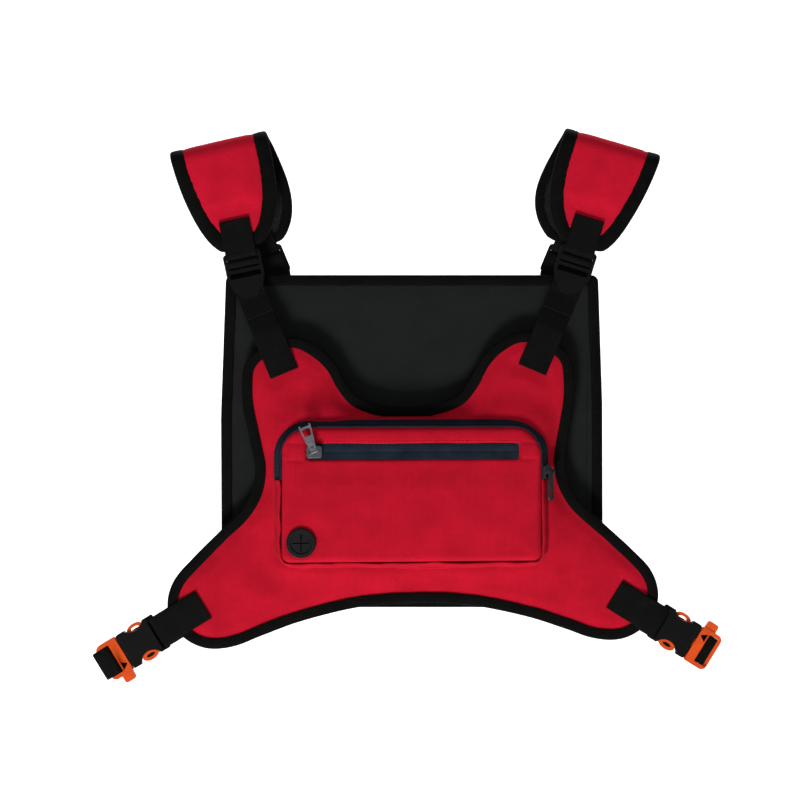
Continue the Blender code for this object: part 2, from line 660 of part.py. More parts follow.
def male_half(name, frame):
    root, end = MALE
    half = BUCKLE_HALF
    y = BUCKLE_Y
    body = rounded_box(name + "_male", (root, y - 4, -half), (end, y + 4, half), "orange", frame,
                       1.2)
    tongue = box_mesh("tongue", (52.0, y - 2, -3.0), (root + 2, y + 2, 3.0))
    whistle = plate_mesh("whistle", [rectangle((root + 6.5, half + 1.5), (5.0, 5.5), 2.0)],
                         y - 3.4, y + 3.4)
    join(body, add_cutter(name + "_tongue", tongue, frame),
         add_cutter(name + "_whistle", whistle, frame))
    inner, outer = MALE_BARS.values()
    spaces = {
        "window": ((root + 5.2, y - 9, -SLOT_HALF), (inner - 1.5, y + 9, SLOT_HALF)),
        "end_window": ((inner + 1.5, y - 9, -SLOT_HALF), (outer - 1.6, y + 9, SLOT_HALF)),
        "above_bars": ((root + 5.1, y - 9, -SLOT_HALF), (end + 5, y - 1.75, SLOT_HALF)),
        "below_bars": ((root + 5.1, y + 1.75, -SLOT_HALF), (end + 5, y + 9, SLOT_HALF)),
        "blow_hole": ((root + 4.0, y - 1.0, half + 2.0), (root + 9.0, y + 1.0, half + 12)),
    }
    for space, (low, high) in spaces.items():
        label = f"{name}_{space}"
        cut(body, add_cutter(label, box_mesh(label, low, high), frame))
    t, w = ARM_HINGE
    for label, sign in (("whistle_side", 1), ("plain_side", -1)):
        outline = ([(52.0, 8.0), (60.0, 8.0), (t, w - 1.75)] + arc((t, w), 1.75, -60, 90, 5)
                   + [(64.6, 11.5), (64.0, 15.2), (58.0, 15.2), (53.5, 11.6), (52.0, 10.0)])
        outline = [(a, sign * b) for a, b in outline]
        add_node(f"{name}_{label}_arm", plate_mesh("arm", [outline], y - 2.4, y + 2.4), "orange",
                 frame)


# ---- the whole vest -----------------------------------------------------------------------------
clear_scene()
PIECES = make_collection("chest_bag_vest")
CUTTERS = make_collection("cutters")

pivot = turn(0, FRONT_PIVOT)
front_frame = add_frame("front_frame", pivot @ turn(FRONT_TILT) @ pivot.inverted())
back_panel()
front_panel(front_frame)
pocket_frame = add_frame("pocket_frame", pivot @ turn(POCKET_TILT) @ pivot.inverted())
pocket(pocket_frame)
zip_sliders(pocket_frame)
for side_name in SIDES:
    shoulder(side_name)
    buckle(side_name)
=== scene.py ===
"""Chest-bag vest: the look of every piece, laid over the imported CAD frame.

The frame is metres, +Z up, the front faces -Y and +X is on the viewer's right. Sizes below are in
millimetres, as in the CAD, and MM turns them into metres. Every mesh made here carries a UV map
in metres, so that weave, ribs and stitches keep their real scale along each piece.
"""
import json
from math import copysign, cos, dist, pi, radians, sin, tan

import bmesh
import bpy
import numpy as np
from mathutils import Matrix, Vector, geometry, noise

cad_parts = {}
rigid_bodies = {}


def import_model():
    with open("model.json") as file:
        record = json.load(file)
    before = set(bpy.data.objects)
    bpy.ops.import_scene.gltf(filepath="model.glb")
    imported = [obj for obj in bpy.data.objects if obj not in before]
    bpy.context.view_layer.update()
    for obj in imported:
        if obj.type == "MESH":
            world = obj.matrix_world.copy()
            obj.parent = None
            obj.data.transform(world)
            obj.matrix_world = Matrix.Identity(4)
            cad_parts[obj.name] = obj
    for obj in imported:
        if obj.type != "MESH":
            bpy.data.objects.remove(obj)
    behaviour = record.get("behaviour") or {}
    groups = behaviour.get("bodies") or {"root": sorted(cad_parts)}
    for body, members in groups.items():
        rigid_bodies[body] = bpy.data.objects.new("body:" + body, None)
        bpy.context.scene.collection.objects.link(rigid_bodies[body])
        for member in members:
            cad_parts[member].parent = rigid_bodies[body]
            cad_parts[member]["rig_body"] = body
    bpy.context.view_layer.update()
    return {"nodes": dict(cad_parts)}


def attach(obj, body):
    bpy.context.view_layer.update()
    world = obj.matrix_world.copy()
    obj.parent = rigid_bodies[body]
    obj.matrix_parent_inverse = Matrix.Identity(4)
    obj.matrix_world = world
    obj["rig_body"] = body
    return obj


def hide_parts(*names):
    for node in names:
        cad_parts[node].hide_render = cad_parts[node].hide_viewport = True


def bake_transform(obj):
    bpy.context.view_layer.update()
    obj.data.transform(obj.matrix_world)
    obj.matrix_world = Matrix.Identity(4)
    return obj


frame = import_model()
NODES = frame["nodes"]
MM = 0.001

# ---- places the pieces share with the CAD, in mm and degrees ----
BINDING, BACK_BINDING_Y, FRONT_BINDING_Y = 9.0, (-1.2, 6.2), (-14.7, -8.3)
FRONT_TILT, POCKET_TILT, FRONT_PIVOT = 1.3, 0.3, (-1.5, -280.0)
PULL_AXIS_Y, PULL_ANGLE, PULL_ROOT = -36.5, 110.0, (-79.4, -259.0)
POCKET_CENTRE, POCKET_HALF = (1.0, -294.5), (114.7, 62.5)
POCKET_TOP_RADIUS, POCKET_FOOT_RADIUS, POCKET_INSET, CORNER_STEPS = 31.0, 20.0, 6.5, 12
LOOSE_Y, FACE_Y = (-30, -20.5), -29.2  # where the lower band is slack; the face's depth
ZIP_END_Z = -282.0
ZIP_CENTRE, ZIP_HALF = (2.5, -259.0), (88.0, 7.0)
PORT_CENTRE, PORT_HOLE, PORT_STITCHING = (-90.7, -334.5), 9.0, 14.2
PAD_RADIUS, PAD_DROP, PAD_HALF, PAD_REACH, PAD_POWER = 12.0, 91.0, 41.4, 97.0, 2.35
PAD_THICK = 6.0
LOCK_DROP = {"front": 107.5, "rear": 110.0}
LOCK_Y, EYE = 11.0, 3.35  # EYE is the radius of a turn of webbing round a bar
TOP_BAR, LOCK_FOOT, TONGUE, OVAL_STEPS = 11.0, 12.0, (14.4, 13.6), 28
WEBBING_WIDTH, WEBBING_THICK, WEBBING_STEP, STITCH_HALF = 25.0, 1.5, 1.1, 10.3
BUCKLE_Y = -11.5
# Angles of each side's pieces, their origins, and "down", the buckle axis's lower side.
SIDES = {
    "left": {"fold": (-161.3, 0.4), "slope": 12.8, "front": 12.0, "rear": 22.5, "skew": 9.7,
             "bulge": 4.0, "horn": (-109.0, -184.0), "strap": 22.6,
             "buckle": (-173.7, -387.6), "axis": 211.5, "bar": 94.4, "down": 1},
    "right": {"fold": (170.4, 0.4), "slope": -16.1, "front": -17.5, "rear": -22.5, "skew": -6.4,
              "bulge": -8.0, "horn": (106.0, -181.0), "strap": -23.1,
              "buckle": (171.6, -378.9), "axis": -31.6, "bar": 86.8, "down": -1},
}
FRONT_EDGE = ((0, -377), (30, -378), (58, -381.5), (98, -391), (130, -402), (152, -410),
              (172, -411), (188, -402), (196, -386), (192, -368), (177, -351), (155, -330),
              (135, -311), (124, -292), (120.3, -272), (124, -247), (128.8, -222), (130, -203),
              (127, -186), (112, -174), (96, -170.5), (82, -176), (68, -189), (58.5, -206),
              (46, -220.5), (24, -229), (0, -231))
CHANNEL_MIDDLE, CHANNEL_REACH = 1.5, 52  # of the two sewn channels on the back
BACK_CORNERS = ((-158.0, -390.3, 6), (162.0, -390.3, 6), (161.5, -220.0, 300),
                (158.0, -111.3, 6), (-154.6, -111.3, 6), (-158.8, -230.0, 300))


# ---- outlines ----
def smooth_loop(points, steps):
    """Closed Catmull-Rom curve through the points."""
    count, curve = len(points), []
    for i in range(count):
        p0, p1, p2, p3 = (Vector(points[(i + k) % count]) for k in (-1, 0, 1, 2))
        for step in range(steps):
            t = step / steps
            curve.append(0.5 * (2 * p1 + (p2 - p0) * t + (2 * p0 - 5 * p1 + 4 * p2 - p3) * t ** 2
                                + (3 * p1 - p0 - 3 * p2 + p3) * t ** 3))
    return [tuple(p) for p in curve]


def moved(path, offset, closed=True):
    """The path moved outwards, to the right of its direction of travel."""
    count, result = len(path), []
    for i, (x, z) in enumerate(path):
        before = path[i - 1] if closed or i else path[0]
        after = path[(i + 1) % count] if closed or i < count - 1 else path[-1]
        along = Vector((after[0] - before[0], after[1] - before[1])).normalized()
        result.append((x + along.y * offset, z - along.x * offset))
    return result


def rounded_outline(corners, steps):
    """Anticlockwise polygon with rounded corners; a corner is (x, z, radius)."""
    outline, count = [], len(corners)
    for i, (x, z, radius) in enumerate(corners):
        here = Vector((x, z))
        to_last = (Vector(corners[i - 1][:2]) - here).normalized()
        to_next = (Vector(corners[(i + 1) % count][:2]) - here).normalized()
        half = to_last.angle(to_next) / 2
        centre = here + (to_last + to_next).normalized() * radius / sin(half)
        start = here + to_last * radius / tan(half) - centre
        sweep = start.angle_signed(here + to_next * radius / tan(half) - centre)
        for step in range(steps + 1):
            a = -sweep * step / steps
            outline.append(tuple(centre + Vector((start.x * cos(a) - start.y * sin(a),
                                                  start.x * sin(a) + start.y * cos(a)))))
    return outline


def rectangle(centre, half, radius, steps=3):
    (x, z), (a, b) = centre, half
    return rounded_outline([(x - a, z - b, radius), (x + a, z - b, radius),
                            (x + a, z + b, radius), (x - a, z + b, radius)], steps)


def arc(centre, radius, start, end, steps=10):
    angles = [radians(start + (end - start) * k / steps) for k in range(steps + 1)]
    return [(centre[0] + radius * cos(a), centre[1] + radius * sin(a)) for a in angles]


def lengths(path):
    """Distance travelled along the path at each of its points."""
    reach = [0.0]
    for a, b in zip(path, path[1:]):
        reach.append(reach[-1] + (Vector(b) - Vector(a)).length)
    return reach


def spaced(path, step, closed=False):
    """The path resampled every step or so, keeping its ends."""
    points = [Vector(p) for p in path] + ([Vector(path[0])] if closed else [])
    reach = lengths(points)
    count = max(2, round(reach[-1] / step))
    result, k = [], 0
    for i in range(count if closed else count + 1):
        target = reach[-1] * i / count
        while k < len(points) - 2 and reach[k + 1] < target:
            k += 1
        share = (target - reach[k]) / max(reach[k + 1] - reach[k], 1e-9)
        result.append(tuple(points[k].lerp(points[k + 1], share)))
    return result


def spaced_3d(path, step):
    """A path of (x, z, y) points resampled every step."""
    flat = spaced([(p[0], p[1]) for p in path], step)
    depths = [p[2] for p in path]
    return [(x, z, depths[min(int(k * len(path) / len(flat)), len(path) - 1)])
            for k, (x, z) in enumerate(flat)]


def eased(path):
    """An open path with its corners rounded off, in two rounds of averaging."""
    points = [Vector(p) for p in path]
    for _ in range(2):
        points = [points[0]] + [(a + b * 2 + c) / 4 for a, b, c in
                                zip(points, points[1:], points[2:])] + [points[-1]]
    return [tuple(p) for p in points]


def midway(a, b, share):
    """The point at a share of the way from a to b."""
    return tuple(Vector(a).lerp(Vector(b), share))


def turn(angle, centre=(0.0, 0.0)):
    """Matrix that turns by angle in the XZ plane and moves the origin to centre."""
    return Matrix.Translation((centre[0] * MM, 0, centre[1] * MM)) @ Matrix.Rotation(
        radians(-angle), 4, "Y")


def tilted(angle):
    """Matrix that turns by angle about FRONT_PIVOT."""
    pivot = turn(0, FRONT_PIVOT)
    return pivot @ turn(angle) @ pivot.inverted()


def wander(x, z, size, seed):
    """Smooth noise from -1 to 1 that varies over size mm."""
    return noise.noise(Vector((x / size, z / size, seed * 7.31)))


# ---- numpy geometry ----
def near(points, path):
    """Distance of each point from a closed path."""
    p = np.asarray(points, float)[:, None]
    a = np.asarray(path, float)
    ab = np.roll(a, -1, 0) - a
    t = np.clip(((p - a) * ab).sum(2) / np.maximum((ab * ab).sum(1), 1e-9), 0, 1)
    return np.sqrt(((a + t[..., None] * ab - p) ** 2).sum(2)).min(1)


def inside(points, path):
    """True for each point that lies within a closed path."""
    p = np.asarray(points, float)
    a = np.asarray(path, float)
    b = np.roll(a, -1, 0)
    above = (a[:, 1] > p[:, None, 1]) != (b[:, 1] > p[:, None, 1])
    rise = np.where(np.abs(b[:, 1] - a[:, 1]) < 1e-9, 1e-9, b[:, 1] - a[:, 1])
    cross = a[:, 0] + (p[:, None, 1] - a[:, 1]) * (b[:, 0] - a[:, 0]) / rise
    return (above & (p[:, None, 0] < cross)).sum(1) % 2 == 1


def depth_inside(points, path):
    """Each point's distance from the path, or 0 outside it."""
    return np.where(inside(points, path), near(points, path), 0)


def gap_outside(points, path):
    """Each point's distance from the path, or 0 inside it."""
    return np.where(inside(points, path), 0, near(points, path))


def soft(t):
    """Smooth step from 0 to 1."""
    t = np.clip(t, 0, 1)
    return t * t * (3 - 2 * t)


def ripple(points, size, seed):
    return np.array([wander(x, z, size, seed) for x, z in points])


def filled(outline, holes, step, extra=()):
    """Triangles that fill an outline: (points, faces), with a staggered grid inside."""
    outline = spaced(outline, step, True)
    holes = [spaced(h, min(step, 2.0), True) for h in holes]
    xs, zs = zip(*outline)
    grid = [(min(xs) + (i + (j % 2) / 2) * step, min(zs) + j * step * 0.866)
            for j in range(1, int((max(zs) - min(zs)) / step / 0.866) + 1)
            for i in range(1, int((max(xs) - min(xs)) / step) + 1)]
    keep = inside(grid, outline) & (near(grid, outline) > step * 0.55)
    for hole in holes:
        keep &= ~inside(grid, hole) & (near(grid, hole) > step * 0.45)
    if extra:
        gaps = np.asarray(grid)[:, None] - np.asarray(extra)[None]
        keep &= np.hypot(gaps[..., 0], gaps[..., 1]).min(1) > step * 0.5
    grid = [g for g, k in zip(grid, keep) if k]
    verts, edges = [], []
    for loop in [outline] + holes:
        first = len(verts)
        verts += [Vector(p) for p in loop]
        edges += [(first + i, first + (i + 1) % len(loop)) for i in range(len(loop))]
    verts += [Vector(p) for p in [*extra, *grid]]
    verts, _, faces, *_ = geometry.delaunay_2d_cdt(verts, edges, [], 0, 1e-5)
    points = np.array([tuple(v) for v in verts])
    middles = np.array([points[list(f)].mean(0) for f in faces])
    good = inside(middles, outline)
    for hole in holes:
        good &= ~inside(middles, hole)
    return points, [f for f, g in zip(faces, good) if g]


# ---- mesh building ----
class Build:
    """Collects faces in mm with a UV map in metres, then becomes one object."""

    def __init__(self):
        self.bm = bmesh.new()
        self.uv = self.bm.loops.layers.uv.new("UVMap")

    def face(self, verts, uvs, slot=0):
        try:
            face = self.bm.faces.new(verts)
        except ValueError:
            return
        face.material_index = slot
        face.smooth = True
        for loop, (u, v) in zip(face.loops, uvs):
            loop[self.uv].uv = (u * MM, v * MM)

    def grid(self, rows, wrap=False, ends=False, loop=False):
        """Quads between rows of points; wrap closes each row, loop joins the last to the first."""
        verts = [[self.bm.verts.new(Vector(p) * MM) for p in row] for row in rows]
        count, middle = len(rows[0]), len(rows[0]) // 2
        if loop:
            rows, verts = rows + rows[:1], verts + verts[:1]
        u = lengths([row[middle] for row in rows])
        across = []
        for row in rows:
            v = lengths(row + row[:1])
            across.append([x - v[middle] for x in v])
        for i, n in zip(range(len(rows)), range(1, len(rows))):
            for k in range(count if wrap else count - 1):
                m = (k + 1) % count
                self.face((verts[i][k], verts[i][m], verts[n][m], verts[n][k]),
                          ((u[i], across[i][k]), (u[i], across[i][k + 1]),
                           (u[n], across[n][k + 1]), (u[n], across[n][k])))
        if ends:
            for i in (0, -1):
                self.face(verts[i], [(p[0], p[2]) for p in rows[i]])

    def pillow(self, outline, holes, step, front, rear, extra=(), slots=(0, 1), place=None):
        """A closed form between two sheets; front and rear give y for an array of (x, z)."""
        place = place or (lambda x, z, y: (x, y, z))
        points, faces = filled(outline, holes, step, extra)
        sides = []
        for depth in (front(points), rear(points)):
            sides.append([self.bm.verts.new(Vector(place(x, z, y)) * MM)
                          for (x, z), y in zip(points, depth)])
        border = {}
        for face in faces:
            for side, verts in enumerate(sides):
                self.face([verts[i] for i in face], [points[i] for i in face], slots[side])
            for a, b in zip(face, face[1:] + face[:1]):
                border[frozenset((a, b))] = None if frozenset((a, b)) in border else (a, b)
        for a, b in filter(None, border.values()):
            self.face((sides[0][a], sides[0][b], sides[1][b], sides[1][a]),
                      (points[a], points[b], points[b], points[a]), slots[0])

    def stitches(self, path, facing, slot=1, pitch=3.4, length=2.3, radius=0.32):
        """A run of thread stitches along 3-D points, on the cloth's front (-1) or back (1)."""
        path, out = [Vector(p) for p in path], Vector((0, facing, 0))
        reach, k = lengths(path), 0
        for n in range(int(reach[-1] / pitch)):
            target = (n + 0.5) * pitch
            while reach[k + 1] < target:
                k += 1
            along = (path[k + 1] - path[k]).normalized()
            middle = path[k] + along * (target - reach[k])
            side = along.cross(out).normalized()
            up = side.cross(along).normalized()
            ring = [self.bm.verts.new((middle + v * radius) * MM)
                    for v in (side, up * 0.9, -side, -up)]
            tips = [self.bm.verts.new((middle + along * s * length / 2 - up * radius * 0.6) * MM)
                    for s in (-1, 1)]
            for i in range(4):
                for tip in tips:
                    self.face((ring[i], ring[(i + 1) % 4], tip), ((0, 0), (1, 0), (0, 1)), slot)

    def webbing(self, path, plane, width, seed):
        """Webbing edge-on along a centre line, with rounded selvedges."""
        path = spaced(path, WEBBING_STEP)
        half, h = width / 2, WEBBING_THICK / 2
        section = [(-half, 0), (-half + 0.25, h * 0.7), (-half + 1.2, h), (-half * 0.4, h * 1.08)]
        section += [(-w, t) for w, t in section[::-1]]
        section += [(-w, -t) for w, t in section[1:-1]]
        shifts = {offset: moved(path, offset, False) for offset in {t for _, t in section}}
        rows = []
        for i in range(len(path)):
            swell = 1 + 0.18 * wander(i * WEBBING_STEP, 0, 9.0, seed) / half
            row = [(w * swell, *shifts[t][i]) for w, t in section]
            rows.append(row if plane == "YZ" else [(a, b, w) for w, a, b in row])
        self.grid(rows, wrap=True, ends=True)

    def done(self, name, materials, matrix=None):
        bmesh.ops.recalc_face_normals(self.bm, faces=self.bm.faces)
        mesh = bpy.data.meshes.new(name)
        self.bm.to_mesh(mesh)
        self.bm.free()
        if matrix is not None:
            mesh.transform(matrix)
        for material in materials:
            mesh.materials.append(material)
        return new_object(name, mesh)


def new_object(name, data):
    obj = bpy.data.objects.new(name, data)
    bpy.context.scene.collection.objects.link(obj)
    return obj


def piece(obj, body, slot, *nodes):
    """Puts a piece on its body and lets it stand for CAD nodes."""
    if body:
        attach(obj, body)
    if nodes:
        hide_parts(*nodes)


# ---- materials ----
class Nodes:
    """A Principled material whose colour, roughness and bump come from procedural nodes."""

    def __init__(self, name, colour, roughness, **sockets):
        self.material = bpy.data.materials.new(name)
        self.material.use_nodes = True
        self.tree = self.material.node_tree
        self.shader = self.tree.nodes["Principled BSDF"]
        self.put(self.shader, {"Base Color": (*colour, 1.0), "Roughness": roughness})
        self.put(self.shader, {key.replace("_", " "): value for key, value in sockets.items()})
        self.bump = None

    def put(self, node, values):
        for key, value in values.items():
            node.inputs[key].default_value = value

    def add(self, kind, **values):
        node = self.tree.nodes.new("ShaderNode" + kind)
        for key, value in values.items():
            if hasattr(node, key):
                setattr(node, key, value)
            else:
                self.put(node, {key.replace("_", " "): value})
        return node

    def link(self, source, target):
        self.tree.links.new(source, target)

    def place(self, scale, source="UV"):
        """Texture coordinates in units of 1 / scale metres."""
        coordinates = self.add("TexCoord").outputs[source]
        mapping = self.add("Mapping", Scale=scale)
        self.link(coordinates, mapping.inputs["Vector"])
        return mapping.outputs["Vector"]

    def noise(self, size, detail=3.0, source="UV", stretch=(1.0, 1.0, 1.0), rough=0.6):
        texture = self.add("TexNoise", Scale=1.0, Detail=detail, Roughness=rough)
        self.link(self.place([s / (size * MM) for s in stretch], source),
                  texture.inputs["Vector"])
        return texture.outputs["Fac"]

    def wave(self, pitch, direction, distortion):
        """Ridges with the given pitch in mm."""
        texture = self.add("TexWave", bands_direction=direction, Scale=pi / 10,
                           Distortion=distortion)
        self.link(self.place([1 / (pitch * MM)] * 3), texture.inputs["Vector"])
        return texture.outputs["Fac"]

    def mix(self, a, b, how="MULTIPLY"):
        node = self.add("Math", operation=how)
        for socket, value in zip(node.inputs, (a, b)):
            if isinstance(value, (int, float)):
                socket.default_value = value
            else:
                self.link(value, socket)
        return node.outputs[0]

    def ramp(self, fac, low, high, dark, light):
        node = self.add("ValToRGB")
        for element, at, colour in zip(node.color_ramp.elements, (low, high), (dark, light)):
            element.position = at
            element.color = (*colour, 1.0)
        self.link(fac, node.inputs["Fac"])
        return node.outputs["Color"]

    def tint(self, base, over, amount):
        """Multiplies a colour by another."""
        node = self.add("Mix", data_type="RGBA", blend_type="MULTIPLY")
        node.inputs[0].default_value = amount
        self.link(base, node.inputs[6])
        self.link(over, node.inputs[7])
        return node.outputs[2]

    def colour(self, output):
        self.link(output, self.shader.inputs["Base Color"])

    def roughness(self, fac, low, high):
        node = self.add("MapRange", To_Min=low, To_Max=high)
        self.link(fac, node.inputs["Value"])
        self.link(node.outputs["Result"], self.shader.inputs["Roughness"])

    def relief(self, height, distance, strength):
        """Adds one level of bump; distance is in mm."""
        node = self.add("Bump", Strength=strength, Distance=distance * MM)
        self.link(height, node.inputs["Height"])
        if self.bump:
            self.link(self.bump.outputs["Normal"], node.inputs["Normal"])
        self.link(node.outputs["Normal"], self.shader.inputs["Normal"])
        self.bump = node


def shade(colour, factor):
    return tuple(c * factor for c in colour)


def canvas(name, colour, pitch, fuzz, contrast, spread):
    """Plain-weave cloth: crossing yarns with painted shade in the gaps between them, soft mottling
    and a little pile.
    """
    m = Nodes(name, colour, 0.88, Sheen_Weight=fuzz, Sheen_Roughness=0.45,
              Specular_IOR_Level=0.04)
    weave = m.mix(m.wave(pitch, "X", 1.2), m.wave(pitch, "Y", 1.2), "MAXIMUM")
    slub = m.noise(2.4, 4.0, stretch=(1.0, 3.0, 1.0))
    base = m.ramp(m.mix(m.noise(26.0, 4.0), slub), 0.12, 0.42, shade(colour, 1 - spread),
                  shade(colour, 1 + spread))
    # The weave's low parts between the threads are darkened: painted shade.
    thread_gap_shade = m.ramp(weave, 0.25, 1.0, (1 - contrast,) * 3, (1.0,) * 3)
    m.colour(m.tint(base, thread_gap_shade, 0.8))
    m.roughness(slub, 0.78, 0.98)
    m.relief(m.mix(weave, m.mix(slub, 0.5), "ADD"), 0.16, 0.6)
    m.relief(m.noise(9.0), 0.5, 0.35)
    return m.material


def ribbed(name, colour, pitch, lengthwise, sheen):
    """Webbing or tape: ribs across its length, faint bands along it, and painted shade in its
    grooves.
    """
    m = Nodes(name, colour, 0.8, Sheen_Weight=sheen, Sheen_Roughness=0.4,
              Specular_IOR_Level=0.05)
    ribs, bands = m.wave(pitch, "X", 0.6), m.wave(lengthwise, "Y", 0.3)
    fuzz = m.noise(1.3, stretch=(1.0, 2.5, 1.0))
    height = m.mix(m.mix(ribs, m.mix(bands, 0.35), "ADD"), m.mix(fuzz, 0.6), "ADD")
    base = m.ramp(m.noise(18.0), 0.3, 0.75, shade(colour, 0.75), shade(colour, 1.35))
    # Darker where the relief is low: painted shade in the grooves between the ribs.
    m.colour(m.tint(base, m.ramp(height, 0.3, 1.6, (0.62,) * 3, (1.0,) * 3), 0.8))
    m.roughness(fuzz, 0.68, 0.92)
    m.relief(height, 0.22, 0.7)
    return m.material


def plastic(name, colour, roughness, grain=0.5, gloss=0.22, glow=0.0):
    """Moulded plastic: fine texture, faint flow marks and rubbed patches."""
    m = Nodes(name, colour, roughness, Specular_IOR_Level=gloss, Subsurface_Weight=glow,
              Subsurface_Radius=(0.002, 0.0007, 0.0003))
    flow = m.noise(22.0, 2.0, "Object", (1.0, 1.0, 2.5))
    fine = m.noise(0.55, 2.0, "Object")
    rubbed = m.noise(7.0, 5.0, "Object", rough=0.75)
    m.colour(m.ramp(flow, 0.3, 0.7, shade(colour, 0.88), shade(colour, 1.12)))
    m.roughness(rubbed, roughness - 0.09, roughness + 0.14)
    m.relief(fine, 0.05 * grain, 0.5)
    m.relief(flow, 0.3, 0.12)
    return m.material


def metal(name, colour, roughness):
    """Cast zip metal: worn highs, dull pits and fine scratches."""
    m = Nodes(name, colour, roughness, Metallic=1.0)
    scratch = m.noise(3.0, 4.0, "Object", (0.25, 1.0, 6.0))
    pits = m.noise(1.1, 3.0, "Object")
    m.colour(m.ramp(m.mix(scratch, pits), 0.12, 0.42, shade(colour, 0.55), shade(colour, 1.25)))
    m.roughness(scratch, roughness - 0.08, roughness + 0.2)
    m.relief(pits, 0.08, 0.5)
    m.relief(scratch, 0.04, 0.4)
    return m.material


def air_mesh(name, colour):
    """Spacer mesh: small open cells in a soft knit, with painted shade in the cells."""
    m = Nodes(name, colour, 0.9, Sheen_Weight=0.02, Specular_IOR_Level=0.06)
    cells = m.add("TexVoronoi", Scale=1.0, Randomness=0.25)
    m.link(m.place((420.0, 420.0, 420.0)), cells.inputs["Vector"])
    hole = cells.outputs["Distance"]
    knit = m.noise(0.8)
    # The open cells are darkened: painted shade in the holes.
    m.colour(m.ramp(hole, 0.12, 0.5, shade(colour, 0.35), shade(colour, 1.4)))
    m.roughness(knit, 0.8, 0.97)
    m.relief(m.mix(hole, m.mix(knit, 0.3), "ADD"), 0.6, 0.7)
    return m.material


RED = canvas("red_canvas", (0.465, 0.0058, 0.0205), 0.95, 0.012, 0.46, 0.17)
# A brighter copy of the red canvas for the pads: painted light, standing in for the stronger light
# on the pads.
PAD_RED_PAINTED_LIGHT = canvas("red_pad_canvas_painted_light", (0.56, 0.0072, 0.027), 0.95, 0.012, 0.42, 0.16)
CHARCOAL = canvas("charcoal_cloth", (0.0125, 0.0140, 0.0134), 0.8, 0.02, 0.30, 0.14)
BLACK_CLOTH = canvas("black_cloth", (0.0040, 0.0044, 0.0040), 0.8, 0.01, 0.35, 0.15)
BLACK_MESH = air_mesh("black_air_mesh", (0.0085, 0.0090, 0.0088))
EDGE_TAPE = ribbed("black_edge_tape", (0.0024, 0.0026, 0.0023), 1.1, 3.0, 0.004)
WEBBING = ribbed("black_webbing", (0.0034, 0.0036, 0.0033), 1.5, 5.0, 0.01)
ZIP_TAPE = ribbed("navy_zip_tape", (0.0105, 0.0165, 0.026), 0.9, 2.0, 0.02)
COIL = plastic("zip_coil", (0.006, 0.008, 0.012), 0.45)
BLACK_PLASTIC = plastic("black_plastic", (0.0026, 0.0026, 0.0026), 0.52, 0.8, 0.08)
ORANGE_PLASTIC = plastic("orange_plastic", (0.57, 0.060, 0.0035), 0.42, 0.4, 0.2, 0.04)
RUBBER = plastic("rubber", (0.0065, 0.0065, 0.0068), 0.7, 1.2, 0.12)
GUNMETAL = metal("gunmetal", (0.27, 0.285, 0.31), 0.26)
DARK_METAL = metal("dark_metal", (0.075, 0.08, 0.09), 0.30)
SLIDER_METAL = metal("slider_metal", (0.16, 0.17, 0.185), 0.28)
BLACK_THREAD = ribbed("black_thread", (0.006, 0.0064, 0.006), 0.5, 1.0, 0.01)
RED_THREAD = ribbed("red_thread", (0.36, 0.006, 0.017), 0.5, 1.0, 0.02)


# ---- panels ----
def paired(edge, inner, step):
    """Both outlines cut into the same small steps."""
    cuts = [max(1, round(lengths([a, b])[1] / step)) for a, b in zip(edge, edge[1:] + edge[:1])]
    return [[midway(a, b, k / count)
             for a, b, count in zip(path, path[1:] + path[:1], cuts) for k in range(count)]
            for path in (edge, inner)]


def between(edge, inner, offset):
    """The outline that lies offset from the edge, towards the binding's inner border."""
    share = -offset / BINDING
    return [midway(a, b, share) for a, b in zip(edge, inner)]


def binding(name, edge, inner, front, rear, matrix, seed):
    """Folded tape round a panel's edge, sewn through near its inner border."""
    rounding = [(-BINDING, 0.75), (-8.9, 0.25), (-8.3, 0.0), (-4.5, -0.15), (-1.2, 0.05),
                (-0.35, 0.4), (-0.05, 1.3)]
    section = ([(offset, front + depth) for offset, depth in rounding]
               + [(0.0, (front + rear) / 2)]
               + [(offset, rear - depth) for offset, depth in rounding[::-1]]
               + [(-7.8, rear - 0.9), (-1.2, rear - 0.9), (-1.2, front + 0.9),
                  (-7.8, front + 0.9)])
    cloth = Build()
    loops = []
    for offset, y in section:
        loop = []
        for k, (x, z) in enumerate(between(edge, inner, offset)):
            stray = 0.35 * wander(x, z, 14.0, seed) * (-offset / BINDING)
            puff = 0.12 * wander(x, z, 5.0, seed + 1)
            outward = (Vector(edge[k]) - Vector(inner[k])).normalized()
            loop.append((x + outward.x * stray, y + puff, z + outward.y * stray))
        loops.append(loop)
    cloth.grid([[loop[k] for loop in loops] for k in range(len(edge))], wrap=True, loop=True)
    for y, out in ((front - 0.1, -1), (rear + 0.1, 1)):
        line = between(edge, inner, -7.2)
        cloth.stitches([(x, y, z) for x, z in line + line[:1]], out)
    return cloth.done(name, [EDGE_TAPE, BLACK_THREAD], matrix)


def transferred(path, source, target):
    """An (x, z) path in one frame, seen in another."""
    matrix = target.inverted() @ source
    moved_path = [matrix @ Vector((x * MM, 0, z * MM)) for x, z in path]
    return [(p.x / MM, p.z / MM) for p in moved_path]


def pocket_outline(inset=0.0, foot=POCKET_FOOT_RADIUS):
    """The pocket's outline, from its right top corner anticlockwise."""
    (x, z), (a, b) = POCKET_CENTRE, POCKET_HALF
    a, b, top = a - inset, b - inset, POCKET_TOP_RADIUS - inset
    return rounded_outline([(x + a, z + b, top), (x - a, z + b, top), (x - a, z - b, foot),
                            (x + a, z - b, foot)], CORNER_STEPS)


def seam_x(z):
    """The back panel's upright seam, which leans a little."""
    return 146.7 + 0.012 * (z + 390)


